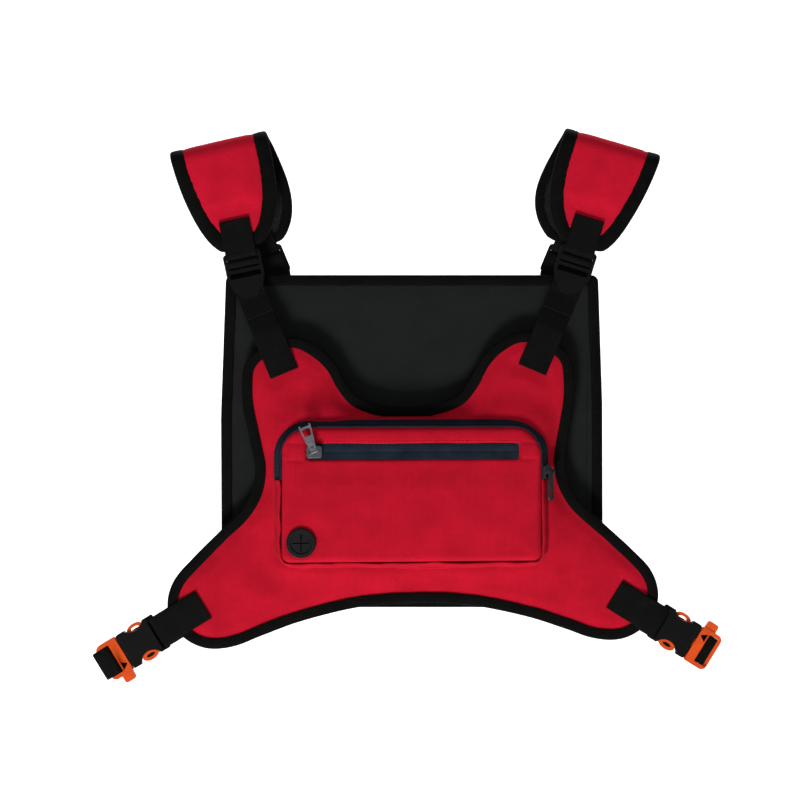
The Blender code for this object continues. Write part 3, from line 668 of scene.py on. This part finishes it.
def back_panel():
    edge = rounded_outline(BACK_CORNERS, 4)
    inner_corners = [(x - copysign(BINDING, x),
                      z + BINDING if z < -390 else z - BINDING if z > -112 else z,
                      1.0 if radius < 10 else radius) for x, z, radius in BACK_CORNERS]
    edge, inner = paired(edge, rounded_outline(inner_corners, 4), 3.0)
    tape = binding("back_edge_binding", edge, inner, *BACK_BINDING_Y, None, 3)
    piece(tape, "back_half", "black_fabric", "back_binding")

    seams = [(seam_x(z) + d, z) for z in range(-378, -124, 3) for d in (-0.5, 0.5)]

    def front(points):
        rise = depth_inside(points, inner)
        seam = np.abs(points[:, 0] - seam_x(points[:, 1]))
        y = 0.1 - 0.75 * soft(rise / 9) - 0.3 * ripple(points, 60, 5) * soft(rise / 20)
        return np.maximum(y + 0.9 * np.exp(-(seam / 1.1) ** 2) * soft(rise / 4), -1.45)

    def rear(points):
        rise = depth_inside(points, inner)
        channels = np.exp(-((np.abs(points[:, 0] - CHANNEL_MIDDLE) - CHANNEL_REACH) / 4.5) ** 2)
        y = 5.0 + 2.6 * soft(rise / 26) + 0.35 * ripple(points, 40, 6) * soft(rise / 20)
        return y - 2.3 * channels * soft((rise - 2) / 10)

    cloth = Build()
    channel_lines = [CHANNEL_MIDDLE + s * CHANNEL_REACH for s in (-1, 1)]
    lanes = [(x + d, z) for x in channel_lines for d in (-3, -1.2, 0, 1.2, 3)
             for z in range(-376, -124, 4)]
    cloth.pillow(between(edge, inner, -1.6), [], 5.0, front, rear, seams + lanes)
    cloth.stitches([(seam_x(z), -0.15, z) for z in range(-379, -121, 4)], -1, 2)
    for x in channel_lines:
        cloth.stitches([(x, 5.15, z) for z in range(-378, -121, 4)], 1, 2)
    panel = cloth.done("back_panel_cloth", [CHARCOAL, BLACK_MESH, BLACK_THREAD])
    piece(panel, "back_half", "charcoal_fabric", "back_shell", "back_foam", "back_lining")


def patch_outlines(target):
    """Where webbing is sewn on the front panel, as (x, z) in the target frame."""
    outlines = []
    for spec in SIDES.values():
        horn = [(-12.5, -10.5), (12.5, -10.5), (12.5, 34), (-12.5, 34)]
        outlines.append(transferred(horn, turn(spec["strap"], spec["horn"]), target))
        tab = [(-1.5, -12.5), (46.0, -12.5), (46.0, 12.5), (-1.5, 12.5)]
        outlines.append(transferred(tab, turn(spec["axis"], spec["buckle"]), target))
    return outlines


def front_panel():
    matrix = tilted(FRONT_TILT)
    half = [tuple(map(float, point)) for point in FRONT_EDGE]
    red_edge = smooth_loop(half + [(-x, z) for x, z in half[-2:0:-1]], 8)
    edge = moved(red_edge, BINDING)
    tape = binding("front_edge_binding", edge, red_edge, *FRONT_BINDING_Y, matrix, 8)
    piece(tape, "front_half", "black_fabric", "front_binding")
    pocket = transferred(pocket_outline(), tilted(POCKET_TILT), matrix)
    patches = patch_outlines(matrix)

    def front(points):
        rise = depth_inside(points, red_edge)
        free = np.ones(len(points))
        for patch in patches:
            free *= soft((gap_outside(points, patch) - 1) / 12)
        beside = gap_outside(points, pocket)
        above = soft((points[:, 1] + 262) / 25)
        tent = np.exp(-(beside / (10 + 5 * above)) ** 2) * soft(rise / 12)
        fold = (2.3 * ripple(points, 48, 2) + 0.9 * ripple(points, 19, 4)) * soft(rise / 16)
        drape = 1.6 * soft(rise / 22) + fold
        return -13.4 - 1.5 * soft(rise / 7) - free * (drape + (3.6 + 1.6 * above) * tent)

    def rear(points):
        rise = depth_inside(points, red_edge)
        return -9.3 + 0.5 * soft(rise / 12) + 0.2 * ripple(points, 30, 9) * soft(rise / 16)

    cloth = Build()
    cloth.pillow(between(edge, red_edge, -2.0), [], 4.0, front, rear)
    panel = cloth.done("front_panel_cloth", [RED, BLACK_CLOTH], matrix)
    piece(panel, "front_half", "red_canvas", "front_shell", "front_foam", "front_lining")


# ---- pocket ----
def band(cloth, path, inner, section, closed, seed=0.0, loose=0.0):
    """Sweeps a section of (offset, y) points between two paths POCKET_INSET apart.

    Between LOOSE_Y's depths the cloth strays by about loose mm.
    """
    rows = []
    for base, rim in zip(map(Vector, path), map(Vector, inner)):
        sag = loose * wander(base.x, base.y, 12.0, seed)
        crumple = 1.3 * loose * wander(base.x, base.y, 11.0, seed + 1)
        row = []
        for offset, y in section:
            free = LOOSE_Y[0] < y < LOOSE_Y[1]
            p = base.lerp(rim, (-offset + free * crumple) / POCKET_INSET)
            row.append((p.x, y + free * sag, p.y))
        rows.append(row)
    cloth.grid(rows, wrap=True, loop=closed, ends=not closed)


def stretch_of(path, first, last):
    """The part of the pocket's outline from index first to last, ending at the zip's ends.

    Straight sides are cut into 36 steps and each step of a corner into 2, whatever their
    lengths, so that two outlines stay matched point by point.
    """
    run = path[first:last]
    run = [(run[0][0], ZIP_END_Z)] + run + [(run[-1][0], ZIP_END_Z)]
    result = []
    for i, (a, b) in enumerate(zip(run, run[1:])):
        count = 36 if i in (0, CORNER_STEPS + 1, len(run) - 2) else 2
        result += [midway(a, b, k / count) for k in range(count)]
    return result + [run[-1]]


def pocket():
    """The pocket's gusset, lower band and curved zip, then its face."""
    matrix = tilted(POCKET_TILT)
    whole, rim = pocket_outline(), pocket_outline(POCKET_INSET, 6.0)
    rim = [(x + 1.3 * wander(x, z, 23.0, 31) + 0.4 * wander(x, z, 7.0, 33),
            z + 1.2 * wander(x, z, 24.0, 32) + 0.3 * wander(x, z, 7.5, 34)) for x, z in rim]
    half = len(whole) // 2
    (upper, upper_rim), (lower, lower_rim) = [
        [stretch_of(path, first, first + half) for path in (whole, rim)] for first in (0, half)]

    cloth = Build()
    band(cloth, *paired(whole, rim, 2.5),
         [(2.4, -13.4), (1.5, -15.4), (0.7, -17.4), (-0.1, -19.0), (-1.1, -20.2), (-2.2, -20.0),
          (-2.6, -18.0), (-2.2, -13.8)], True)
    gusset = cloth.done("pocket_gusset_cloth", [RED], matrix)
    piece(gusset, "front_half", "red_canvas", "pocket_gusset")

    cloth = Build()
    band(cloth, lower, lower_rim,
         [(-1.1, -19.9), (-1.2, -21.2), (-1.9, -23.4), (-2.9, -25.9), (-4.0, -27.7),
          (-4.9, -28.4), (-5.7, -28.2), (-6.1, -27.2), (-6.3, -25.0), (-3.4, -20.2)],
         False, 5.0, 1.0)
    piece(cloth.done("pocket_lower_band", [RED], matrix), "front_half", "red_canvas",
          "pocket_rim")

    start, slope, out = Vector((-1.0, -20.1)), Vector((-5.6, -9.0)), Vector((0.83, -0.55))

    def on_slope(share, lift):
        p = start + slope * share + out * lift
        return p.x, p.y

    def along_zip(share, lift):
        offset, y = on_slope(share, lift)
        return [(*midway(p, q, -offset / POCKET_INSET), y) for p, q in zip(upper, upper_rim)]

    cloth = Build()
    profile = [(0.0, 0.2), (0.03, 0.75), (0.10, 0.9), (0.16, 0.85), (0.2, 0.4), (0.34, 0.45),
               (0.46, 0.3), (0.485, -0.5), (0.515, -0.5), (0.54, 0.3), (0.66, 0.45), (0.8, 0.4),
               (0.84, 0.85), (0.92, 0.9), (0.98, 0.6), (1.02, -0.3), (0.9, -0.9), (0.1, -0.9)]
    band(cloth, upper, upper_rim, [on_slope(*p) for p in profile], False, 7.0, 0.2)
    for share in (0.13, 0.88):
        cloth.stitches([(x, y, z) for x, z, y in along_zip(share, 1.0)], -1)
    tape = cloth.done("curved_zip_tape", [ZIP_TAPE, BLACK_THREAD], matrix)
    piece(tape, "front_half", "zip_tape", "main_zip_tape")

    rows = []
    for k, (x, z, y) in enumerate(spaced_3d(along_zip(0.5, -0.05), 0.55)):
        r = 0.62 + 0.28 * (k % 3 == 1)
        rows.append([(x + r * cos(t) * 0.8, y + r * sin(t), z + r * cos(t) * 0.5)
                     for t in (0, 1.05, 2.1, 3.14, 4.2, 5.25)])
    cloth = Build()
    cloth.grid(rows, wrap=True, ends=True)
    piece(cloth.done("curved_zip_coil", [COIL], matrix), "front_half", "zip_tape")
    pocket_face(matrix, moved([(x + 0.8 * wander(x, z, 10.0, 35),
                                z + 0.6 * wander(x, z, 14.0, 36)) for x, z in rim], -0.45))


def pocket_face(matrix, outline):
    """The pocket's front, with its rolled edge, zip slot, port hole and two seams."""
    (cx, cz), (a, b) = ZIP_CENTRE, ZIP_HALF
    slot = [(x, z + 0.7 * wander(x, 0, 38.0, 6)) for x, z in
            spaced(rectangle(ZIP_CENTRE, (a, b - 0.2), 1.2, 3), 2.0, True)]
    hole = arc(PORT_CENTRE, PORT_HOLE, 0, 345, 23)
    seams = [(x, cz + side * b + d) for side in (-1, 1) for d in (-0.9, 0, 0.9)
             for x in list(range(-104, -88, 2)) + list(range(93, 108, 2))]

    def front(points):
        d = near(points, outline)
        roll = np.sqrt(1 - (1 - np.clip(d / 3.0, 0, 1)) ** 2)
        by_zip, by_port = near(points, slot), near(points, hole)
        free = soft((by_zip - 3) / 22) * soft((by_port - 4) / 16)
        folds = (0.45 * ripple(points, 42, 11) + 0.25 * ripple(points, 15, 12)) * soft(d / 8)
        lip = 0.5 * (1 - np.clip(by_zip / 1.3, 0, 1)) ** 2
        outer = np.abs(points[:, 0] - cx) > a + 1
        crease = sum(np.exp(-((points[:, 1] - cz - s * b) / 0.75) ** 2) for s in (-1, 1))
        corner = np.exp(-((np.abs(points[:, 0] - 1) - 100) ** 2 + (points[:, 1] + 346) ** 2) / 250)
        tuck = (0.35 + 1.1 * corner) * soft((6 - d) / 5) * ripple(points, 6.0, 13)
        return (FACE_Y - 1.9 * roll - free * (1.9 * soft(d / 34) + folds) + lip
                + 0.55 * crease * outer * soft(d / 2) + tuck * (d > 0.3))

    cloth = Build()
    cloth.pillow(outline, [slot, hole], 3.2, front,
                 lambda p: FACE_Y + 3.4 * (1 - soft(near(p, outline) / 3)), seams, (0, 0))
    frame_line = moved([(x, z) for x, z in slot], 1.9)
    cloth.stitches([(x, -31.1, z) for x, z in frame_line + frame_line[:1]], -1)
    ring = arc(PORT_CENTRE, PORT_STITCHING, 0, 360, 40)
    cloth.stitches([(x, -31.35, z) for x, z in ring], -1, pitch=2.8, length=1.9)
    face = cloth.done("pocket_face_cloth", [RED, RED_THREAD], matrix)
    piece(face, "front_half", "red_canvas", "pocket_face")

    def tape_front(points):
        groove = 0.35 * np.exp(-((points[:, 1] - cz) / 0.45) ** 2)
        halves = 0.12 * np.cos((points[:, 1] - cz) / b * 6)
        return -30.35 + groove + halves + 0.25 * ripple(points, 26, 14)

    cloth = Build()
    middle = [(x, cz + d) for x in range(-84, 90, 2) for d in (-0.8, 0, 0.8)]
    cloth.pillow(rectangle(ZIP_CENTRE, (a + 1.4, b + 1.4), 1.0), [], 2.6, tape_front,
                 lambda p: np.full(len(p), -29.75), middle, (0, 0))
    for side in (-1, 1):
        line = [(x, -30.55 + 0.25 * wander(x, cz + side * 3.6, 26, 14), cz + side * 4.4)
                for x in range(-85, 91, 3)]
        cloth.stitches(line, -1, pitch=3.0, length=2.0, radius=0.22)
    tape = cloth.done("front_zip_strip", [ZIP_TAPE, BLACK_THREAD], matrix)
    piece(tape, "front_half", "zip_tape", "front_zip_tape")


# ---- shoulder pads ----
QUARTER = PAD_RADIUS * pi / 2


def drop_at(q):
    """Height lost at a distance q along the pad from its fold."""
    q = abs(q)
    return PAD_RADIUS * (1 - cos(q / PAD_RADIUS)) if q < QUARTER else PAD_RADIUS + q - QUARTER


def half_width(drop):
    return PAD_HALF * (1 - min(drop / PAD_REACH, 1.0) ** PAD_POWER) ** (1 / PAD_POWER)


def fold_point(side, x, q, depth):
    """A point across and along the laid-out pad (front leaf negative), below its outer face."""
    drop = drop_at(q)
    swell = sin(pi * (drop / PAD_REACH) ** 1.5) * SIDES[side]["bulge"]
    lean = 0.4 * swell if q < 0 else tan(radians(SIDES[side]["skew"])) * drop + swell
    radius, a = PAD_RADIUS - depth, min(abs(q) / PAD_RADIUS, pi / 2)
    z = -PAD_RADIUS + radius * cos(a) if abs(q) < QUARTER else -drop
    return x + lean, copysign(radius * sin(a), q), z


def pad_outline():
    """Edge of the laid-out pad as (across, along)."""
    tip = QUARTER + PAD_DROP - PAD_RADIUS
    right = [(4.0, -tip - 1.8), (9.5, -tip - 1.6), (14.0, -tip - 1.1)]
    steps = 60
    for k in range(steps + 1):
        q = tip * (2 * k / steps - 1)
        right.append((half_width(drop_at(q)), q))
    right += [(x, -q) for x, q in right[2::-1]]
    return spaced(right + [(-x, q) for x, q in right[::-1]], 2.2, True)


def shoulder_pad(side):
    spec = SIDES[side]
    matrix = turn(spec["slope"], spec["fold"])
    seed = 21 if side == "left" else 27
    outline = pad_outline()
    border = moved(outline, -11.0)

    def place(x, q, depth):
        return fold_point(side, x, q, depth)

    def crown(points, rim, rise, slack):
        d = near(points, rim)
        folds = slack * (ripple(points, 30, seed) + 0.5 * ripple(points, 12, seed + 1))
        away = 0.2 + 0.8 * soft((np.abs(points[:, 1]) - 5) / 34)
        return away * (rise * soft(d / 13) + folds * soft(d / 9))

    def cover_face(points):
        sewn = soft((68 - np.abs(points[:, 1])) / 12)
        return 0.7 - 0.9 * soft(near(points, border) / 3) - sewn * crown(points, border, 1.9, 0.55)

    def inner_face(points):
        away = soft((np.abs(points[:, 1]) - 8) / 16)
        return PAD_THICK + (0.25 + 0.75 * away) * crown(points, outline, 0.8, 0.15)

    def flat(depth):
        return lambda points: np.full(len(points), depth)

    pieces = []
    cloth = Build()
    cloth.pillow(moved(outline, -9.6), [], 3.4, cover_face, flat(1.5), (), (0, 0), place)
    # The pad cover takes the brighter copy of the red canvas: painted light.
    pieces.append(("cover", "red_canvas", cloth.done(f"{side}_pad_cover", [PAD_RED_PAINTED_LIGHT], matrix)))
    cloth = Build()
    cloth.pillow(moved(outline, -0.8), [], 4.2, flat(1.7), inner_face, (), (0, 1), place)
    pieces.append(("lining", "black_fabric",
                   cloth.done(f"{side}_pad_padding", [BLACK_CLOTH, BLACK_MESH], matrix)))

    section = [(-11.5, 1.0), (-11.4, 0.2), (-10.7, -0.2), (-6.0, -0.6), (-1.7, -0.4), (-0.5, 0.3),
               (0.2, 1.6), (0.4, 3.0), (0.2, 4.6), (-0.5, 5.9), (-1.7, 6.4), (-5.0, 6.65),
               (-9.2, 6.4), (-9.8, 6.0), (-9.5, 5.3), (-1.5, 5.2), (-1.5, 1.2), (-10.4, 1.2)]
    cloth = Build()
    rows = []
    loops = [moved(outline, offset) for offset, _ in section]
    for k, (x, q) in enumerate(outline):
        stray = 0.2 * wander(x, q, 19.0, seed + 2)
        rows.append([place(loop[k][0] + stray * o / -9 * (-1 if x < 0 else 1), loop[k][1],
                           d + 0.12 * wander(x, q, 5.0, seed + 3))
                     for loop, (o, d) in zip(loops, section)])
    cloth.grid(rows, wrap=True, loop=True)
    for inset, depth in ((-9.6, -0.4), (-8.2, 6.7)):
        line = moved(outline, inset)
        for leaf in (-1, 1):
            part = [p for p in line + line if leaf * p[1] > 0]
            start = next(i for i, p in enumerate(part) if i and dist(p, part[i - 1]) > 12)
            run = part[start:start + len(part) // 2]
            facing = leaf if depth < 0 else -leaf
            cloth.stitches([place(x, q, depth) for x, q in run], facing)
    pieces.append(("binding", "black_fabric",
                   cloth.done(f"{side}_pad_binding", [EDGE_TAPE, BLACK_THREAD], matrix)))
    for layer, slot, obj in pieces:
        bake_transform(obj)
        piece(obj, None, slot, f"{side}_pad_front_{layer}", f"{side}_pad_rear_{layer}")


# ---- webbing ----
def box_stitch(cloth, start, end, half, height, plane):
    """A sewn rectangle with a cross inside it."""
    corners = [(start, -half), (end, -half), (end, half), (start, half), (start, -half)]
    for path in (corners, corners[0:3:2], corners[1:4:2]):
        cloth.stitches([(w, height, u) if plane == "YZ" else (u, height, w) for u, w in path],
                       copysign(1, height), pitch=2.6, length=1.9, radius=0.26)


def strap_piece(name, path, plane, matrix, seed, patch=None, width=WEBBING_WIDTH):
    """Webbing along a path; a patch is the (start, end, half width, height) of its stitching."""
    cloth = Build()
    cloth.webbing(eased(spaced(path, 1.0)), plane, width, seed)
    if patch:
        box_stitch(cloth, *patch, plane)
    return cloth.done(name, [WEBBING, BLACK_THREAD], matrix)


def worn_by(body, node, *strap):
    """A strap on a body, in the place of its CAD node."""
    piece(strap_piece(node + "_webbing", *strap), body, "webbing", node)


def adjuster(side, leaf):
    """The pad's tab, the ladder lock's turn of webbing and the strap that leaves it."""
    spec, front = SIDES[side], leaf == "front"
    facing = -1 if front else 1
    matrix = turn(spec[leaf], spec["fold"])
    body = "front_half" if front else "back_half"
    name, lock = f"{side}_{leaf}", f"{side}_{leaf}_lock"
    y, centre = facing * LOCK_Y, -LOCK_DROP[leaf]
    top = centre + TOP_BAR
    shift = LOCK_DROP["front"] - LOCK_DROP[leaf]
    face, back = facing * 13.7, facing * 4.3
    bend = arc((y, top - 0.6), EYE, 180, 360) if front else arc((y, top - 0.6), EYE, 0, -180)
    tab = ([(face, -67.6), (face, -90.0 + shift)] + bend
           + [(facing * 4.6, top + 4.0), (back, top + 7.0), (back, -74.0)])
    worn_by(body, name + "_tab", tab, "YZ", matrix, 2.0,
            (-79.5, -69.5, STITCH_HALF, facing * 14.55), 26.0)

    inner = facing * (LOCK_Y - EYE)
    over = [(y + facing * 3.1 * cos(radians(a)),
             centre + 3.5 + 2.8 * sin(radians(a))) for a in range(-50, 181, 23)]
    wind = [(y - facing * 0.6, centre + 0.2)] + over + [(inner, centre - 1.0)]
    worn_by(lock, name + "_wrap", wind + [(inner, centre - 16.5)], "YZ", matrix, 4.0, None, 26.5)

    if front:
        matrix = turn(spec["strap"], spec["horn"])
        path = [(-15.9, -10.9), (-15.9, 27.0), (-7.65, 55.0), (-7.65, 67.5)]
        strap = strap_piece(name + "_strap_webbing", path, "YZ", matrix, 6.0,
                            (-9.0, 6.0, STITCH_HALF, -16.75))
        path = [(-9.25, 70.0), (-9.3, 56.5), (-11.4, 48.5), (-13.4, 42.0)]
        tail = strap_piece(f"{side}_strap_tail", path, "YZ", matrix, 11.0)
        low, high = (0, -14.0, 32.0), (0, -7.65, 62.0)
    else:
        sewn, end = 7.3, centre - 15.0
        strap = strap_piece(name + "_strap_webbing", [(inner, end), (sewn, end - 10),
                                                      (sewn, end - 34)],
                            "YZ", matrix, 5.0, (end - 32.5, end - 16, STITCH_HALF, sewn + 0.85))
        tail = None
        low, high = (0, sewn, end - 12), (0, inner, end - 1)
    ends = [tuple(matrix @ (Vector(p) * MM)) for p in (high, low)]
    for obj, nodes in ((tail, ()), (strap, (name + "_strap",))):
        if obj:
            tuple(ends[0])
            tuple(ends[1])
            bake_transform(obj)
            piece(obj, None, "webbing", *nodes)


def buckle_webbing(side):
    """The tab that holds the socket half, the plug half's loop and the waist strap."""
    spec = SIDES[side]
    matrix = turn(spec["axis"], spec["buckle"])
    front, rear = BUCKLE_Y - 4.3, BUCKLE_Y + 4.3
    path = ([(-1.4, front - 0.1), (36.5, front), (39.5, BUCKLE_Y - EYE)]
            + arc((42.3, BUCKLE_Y), EYE, -90, 90)
            + [(39.5, BUCKLE_Y + EYE), (36.5, rear), (12.0, rear)])
    worn_by("front_half", f"{side}_buckle_tab", path, "XY", matrix, 7.0,
            (0.5, 17.5, STITCH_HALF, front - 0.95), 26.8)

    bar = spec["bar"]
    if side == "left":
        past, back = 2.0, [(88.2, BUCKLE_Y - EYE), (86.2, -14.3), (85.0, -12.9), (84.7, -10.5)]
    else:
        past, back = 2.4, arc((bar, BUCKLE_Y), EYE, -90, -160, 5)
    path = ([(20.0, -4.65), (bar - 14.0, -4.65), (bar - 5.9, -5.9), (bar - 2.9, -7.7)]
            + arc((bar + past, BUCKLE_Y), EYE, 90, -90, 12) + back)
    worn_by(f"{side}_buckle_male", f"{side}_waist_loop", path, "XY", matrix, 8.0)
    below = Matrix.Translation((0, 0, 2.6 * spec["down"] * MM))
    worn_by("back_half", f"{side}_waist_strap", [(-45.0, -2.55), (64.0, -2.55)], "XY",
            matrix @ below, 9.0, (-44.0, -30.0, STITCH_HALF, -3.45))


# ---- moulded and metal parts ----
def prism(name, outline, low, high, matrix):
    """A plate between two depths, for carving."""
    cloth = Build()
    cloth.grid([[(x, y, z) for x, z in outline] for y in (low, high)], wrap=True, ends=True)
    return cloth.done(name, [], matrix)


def baked(obj):
    """The object's mesh with its modifiers applied; the modifiers are cleared."""
    bpy.context.view_layer.update()
    mesh = bpy.data.meshes.new_from_object(
        obj.evaluated_get(bpy.context.evaluated_depsgraph_get()))
    obj.modifiers.clear()
    return mesh


def moulded(name, node, material, slot, edge, cutters=(), additions=(), segments=3):
    """A finished part over a CAD node: its shape, added to, carved and with rounded edges."""
    mesh = NODES[node].data.copy()
    bm = bmesh.new()
    bm.from_mesh(mesh)
    bmesh.ops.remove_doubles(bm, verts=bm.verts, dist=2e-6)
    bmesh.ops.dissolve_limit(bm, angle_limit=radians(2), verts=bm.verts, edges=bm.edges)
    bm.to_mesh(mesh)
    bm.free()
    obj = new_object(name, mesh)
    mesh.materials.clear()
    mesh.materials.append(material)
    for tool in (*additions, *cutters):
        carve = obj.modifiers.new(tool.name, "BOOLEAN")
        carve.operation = "UNION" if tool in additions else "DIFFERENCE"
        carve.solver, carve.object = "EXACT", tool
    rounding = obj.modifiers.new("rounding", "BEVEL")
    rounding.width, rounding.segments = edge * MM, segments
    rounding.limit_method, rounding.angle_limit = "ANGLE", radians(28)
    obj.data = shaped = baked(obj)
    for tool in (*additions, *cutters):
        bpy.data.objects.remove(tool)
    shaped.shade_smooth()
    shaped.set_sharp_from_angle(angle=radians(40))
    weighted = obj.modifiers.new("weighted_normals", "WEIGHTED_NORMAL")
    weighted.keep_sharp = True
    obj.data = baked(obj)
    bpy.data.meshes.remove(shaped)
    piece(obj, NODES[node]["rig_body"], slot, node)


def ladder_lock(side, leaf):
    """The adjuster's frame, with a broad rounded thumb tongue."""
    facing = -1 if leaf == "front" else 1
    matrix = turn(SIDES[side][leaf], SIDES[side]["fold"])
    foot = -LOCK_DROP[leaf] - LOCK_FOOT
    y = facing * LOCK_Y
    curve = [(TONGUE[0] * cos(a), foot + TONGUE[1] * sin(a) + 0.8)
             for a in (pi * (1 + k / 20) for k in range(21))]
    name = f"{side}_{leaf}"
    tongue = prism(f"{name}_tongue", curve, y - 1.5, y + 1.5, matrix)
    moulded(f"{name}_ladder_lock", f"{name}_lock", BLACK_PLASTIC, "black_plastic", 0.45,
            additions=[tongue])


def oval(centre, half):
    return [(centre[0] + half[0] * cos(a), centre[1] + half[1] * sin(a))
            for a in (2 * pi * k / OVAL_STEPS for k in range(OVAL_STEPS))]


def side_release_buckle(side):
    """The socket half, the plug half and its two spring arms."""
    spec = SIDES[side]
    matrix = turn(spec["axis"], spec["buckle"])
    name = f"{side}_buckle"

    def tool(label, outline, low=-9.0, high=9.0):
        return prism(f"{name}_{label}", outline, BUCKLE_Y + low, BUCKLE_Y + high, matrix)

    def part(label, node, *finish):
        moulded(f"{name}_{label}", f"{name}_{node}", *finish)

    notches = [tool(f"notch_{s}", oval((58.6, s * (18.0 if s == spec["down"] else 19.6)),
                                       (10.0, 8.8))) for s in (-1, 1)]
    part("female_shell", "female", BLACK_PLASTIC, "black_plastic", 0.55, notches)
    lip = tool("lip", rectangle((80.4, 0), (3.9, 14.0), 0.5, 2), -4.4, -0.8)
    rails = [tool(f"rail_{s}", rectangle((86.4, s * 14.4), (9.4, 1.75), 0.8, 2), -4.1, 4.1)
             for s in (-1, 1)]
    corner = arc((90.6, 10.8), 5.4, 0, 90, 8) + [(90.6, 18.0), (98.0, 18.0), (98.0, 10.8)]
    cutters = [tool(f"corner_{s}", [(x, s * z) for x, z in corner]) for s in (-1, 1)]
    cutters.append(tool("window", [(77.8, 8.5), (83.2, 4.9), (83.2, 12.1)]))
    orange = (ORANGE_PLASTIC, "orange_plastic", 0.45)
    part("male_whistle", "male", *orange, cutters, [lip] + rails)
    for label, s in (("whistle_side", 1), ("plain_side", -1)):
        grip = (58.0, s * 12.9)
        pad = tool(f"{label}_pad", oval(grip, (7.3, 4.3)), -3.0, 3.0)
        slot = tool(f"{label}_slot", oval(grip, (3.9, 1.5)))
        part(f"{label}_prong", f"{label}_arm", *orange, [slot], [pad])


def front_pull():
    """The front zip's pull: two raised rails with a bar, a window and a recess between them."""
    matrix = (tilted(POCKET_TILT) @ Matrix.Translation((0, PULL_AXIS_Y * MM, 0))
              @ turn(PULL_ANGLE, PULL_ROOT))

    def both_sides(name, half_widths, low, high):
        outline = half_widths + [(x, -z) for x, z in reversed(half_widths)]
        return prism("pull_" + name, outline, low, high, matrix)

    plate = both_sides("plate", [(3.4, 2.8), (8.0, 3.5), (22.6, 5.2), (24.0, 4.7)], -1.1, 0.75)
    cutters = [both_sides("recess", [(6.4, 2.1), (13.0, 2.9)], -3.0, -0.4),
               both_sides("window", [(14.2, 2.9), (20.2, 3.7)], -3.0, 3.0),
               both_sides("notch", [(22.3, 3.7), (26.0, 4.0)], -3.0, 3.0),
               both_sides("hole", [(3.9, 1.2), (5.2, 1.4)], -3.0, 3.0)]
    moulded("front_zip_pull_metal", "front_zip_pull", GUNMETAL, "zip_metal", 0.28, cutters,
            [plate], segments=2)


def hardware():
    front_pull()
    for node, finish in (("front_zip_slider", SLIDER_METAL), ("main_zip_slider", DARK_METAL),
                         ("main_zip_pull", DARK_METAL)):
        moulded(node + "_metal", node, finish, "zip_metal", 0.28, segments=2)
    moulded("cable_outlet", "earphone_port", RUBBER, "rubber", 0.22, segments=2)


back_panel()
front_panel()
pocket()
for side_name in SIDES:
    shoulder_pad(side_name)
    for leaf_name in ("front", "rear"):
        adjuster(side_name, leaf_name)
        ladder_lock(side_name, leaf_name)
    buckle_webbing(side_name)
    side_release_buckle(side_name)
hardware()


# ---- room, light and camera ----
FLOOR_Z, WALL_Y, WALL_TOP, ROOM_HALF, BEND = -2.8, 3.8, 4.5, 6.0, 1.4
WORLD_LIGHT = 0.32
LENS, SENSOR = 134.0, 36.0
CAMERA_PLACE = (-0.0084, -2.5, -0.2163)
VEST_MIDDLE = (0.0, 0.0, -0.22)
LIGHTS = (("key", (-0.75, -1.95, -2.6), VEST_MIDDLE, 1.0, 128.0),
          ("fill", (0.4, -2.5, 0.6), VEST_MIDDLE, 1.4, 7.0),
          ("rear", (1.3, 1.3, 1.1), VEST_MIDDLE, 0.6, 5.0),
          ("backdrop", (0.0, 2.2, 3.2), (0.0, WALL_Y, 0.4), 3.0, 230.0),
          ("backdrop_low", (0.0, 2.2, -2.5), (0.0, WALL_Y, -0.9), 3.0, 120.0))


def room():
    """A pale floor that curves up into a backdrop."""
    floor = Nodes("pale_floor", (0.86, 0.86, 0.86), 0.9, Specular_IOR_Level=0.1)
    floor.colour(floor.ramp(floor.noise(300.0, 2.0, "Object"), 0.2, 0.8, (0.86,) * 3,
                            (0.88,) * 3))
    bend = [(WALL_Y - BEND + BEND * sin(t), FLOOR_Z + BEND * (1 - cos(t)))
            for t in (k * pi / 24 for k in range(13))]
    profile = [(-ROOM_HALF, FLOOR_Z)] + bend + [(WALL_Y, WALL_TOP)]
    columns = (-ROOM_HALF, -ROOM_HALF / 3, ROOM_HALF / 3, ROOM_HALF)
    cloth = Build()
    cloth.grid([[(x / MM, y / MM, z / MM) for x in columns] for y, z in profile])
    cloth.done("studio_sweep", [floor.material])


def light(name, place, target, size, power):
    """A round lamp, in metres and watts, that the camera doesn't see."""
    data = bpy.data.lights.new(name, "AREA")
    data.shape, data.size, data.energy = "DISK", size, power
    lamp = new_object(name, data)
    lamp.location, lamp.visible_camera = place, False
    lamp.rotation_euler = (Vector(target) - Vector(place)).to_track_quat("-Z", "Y").to_euler()


def studio():
    scene = bpy.context.scene
    scene.view_settings.view_transform = "Standard"
    room()
    world = bpy.data.worlds.new("studio_world")
    world.use_nodes = True
    background = world.node_tree.nodes["Background"].inputs
    background["Color"].default_value = (1.0, 1.0, 1.0, 1.0)
    background["Strength"].default_value = WORLD_LIGHT
    scene.world = world
    for settings in LIGHTS:
        light(*settings)
    camera = bpy.data.cameras.new("camera")
    camera.lens, camera.sensor_width = LENS, SENSOR
    view = new_object("camera", camera)
    view.location, view.rotation_euler = CAMERA_PLACE, (pi / 2, 0.0, 0.0)
    scene.camera = view


studio()
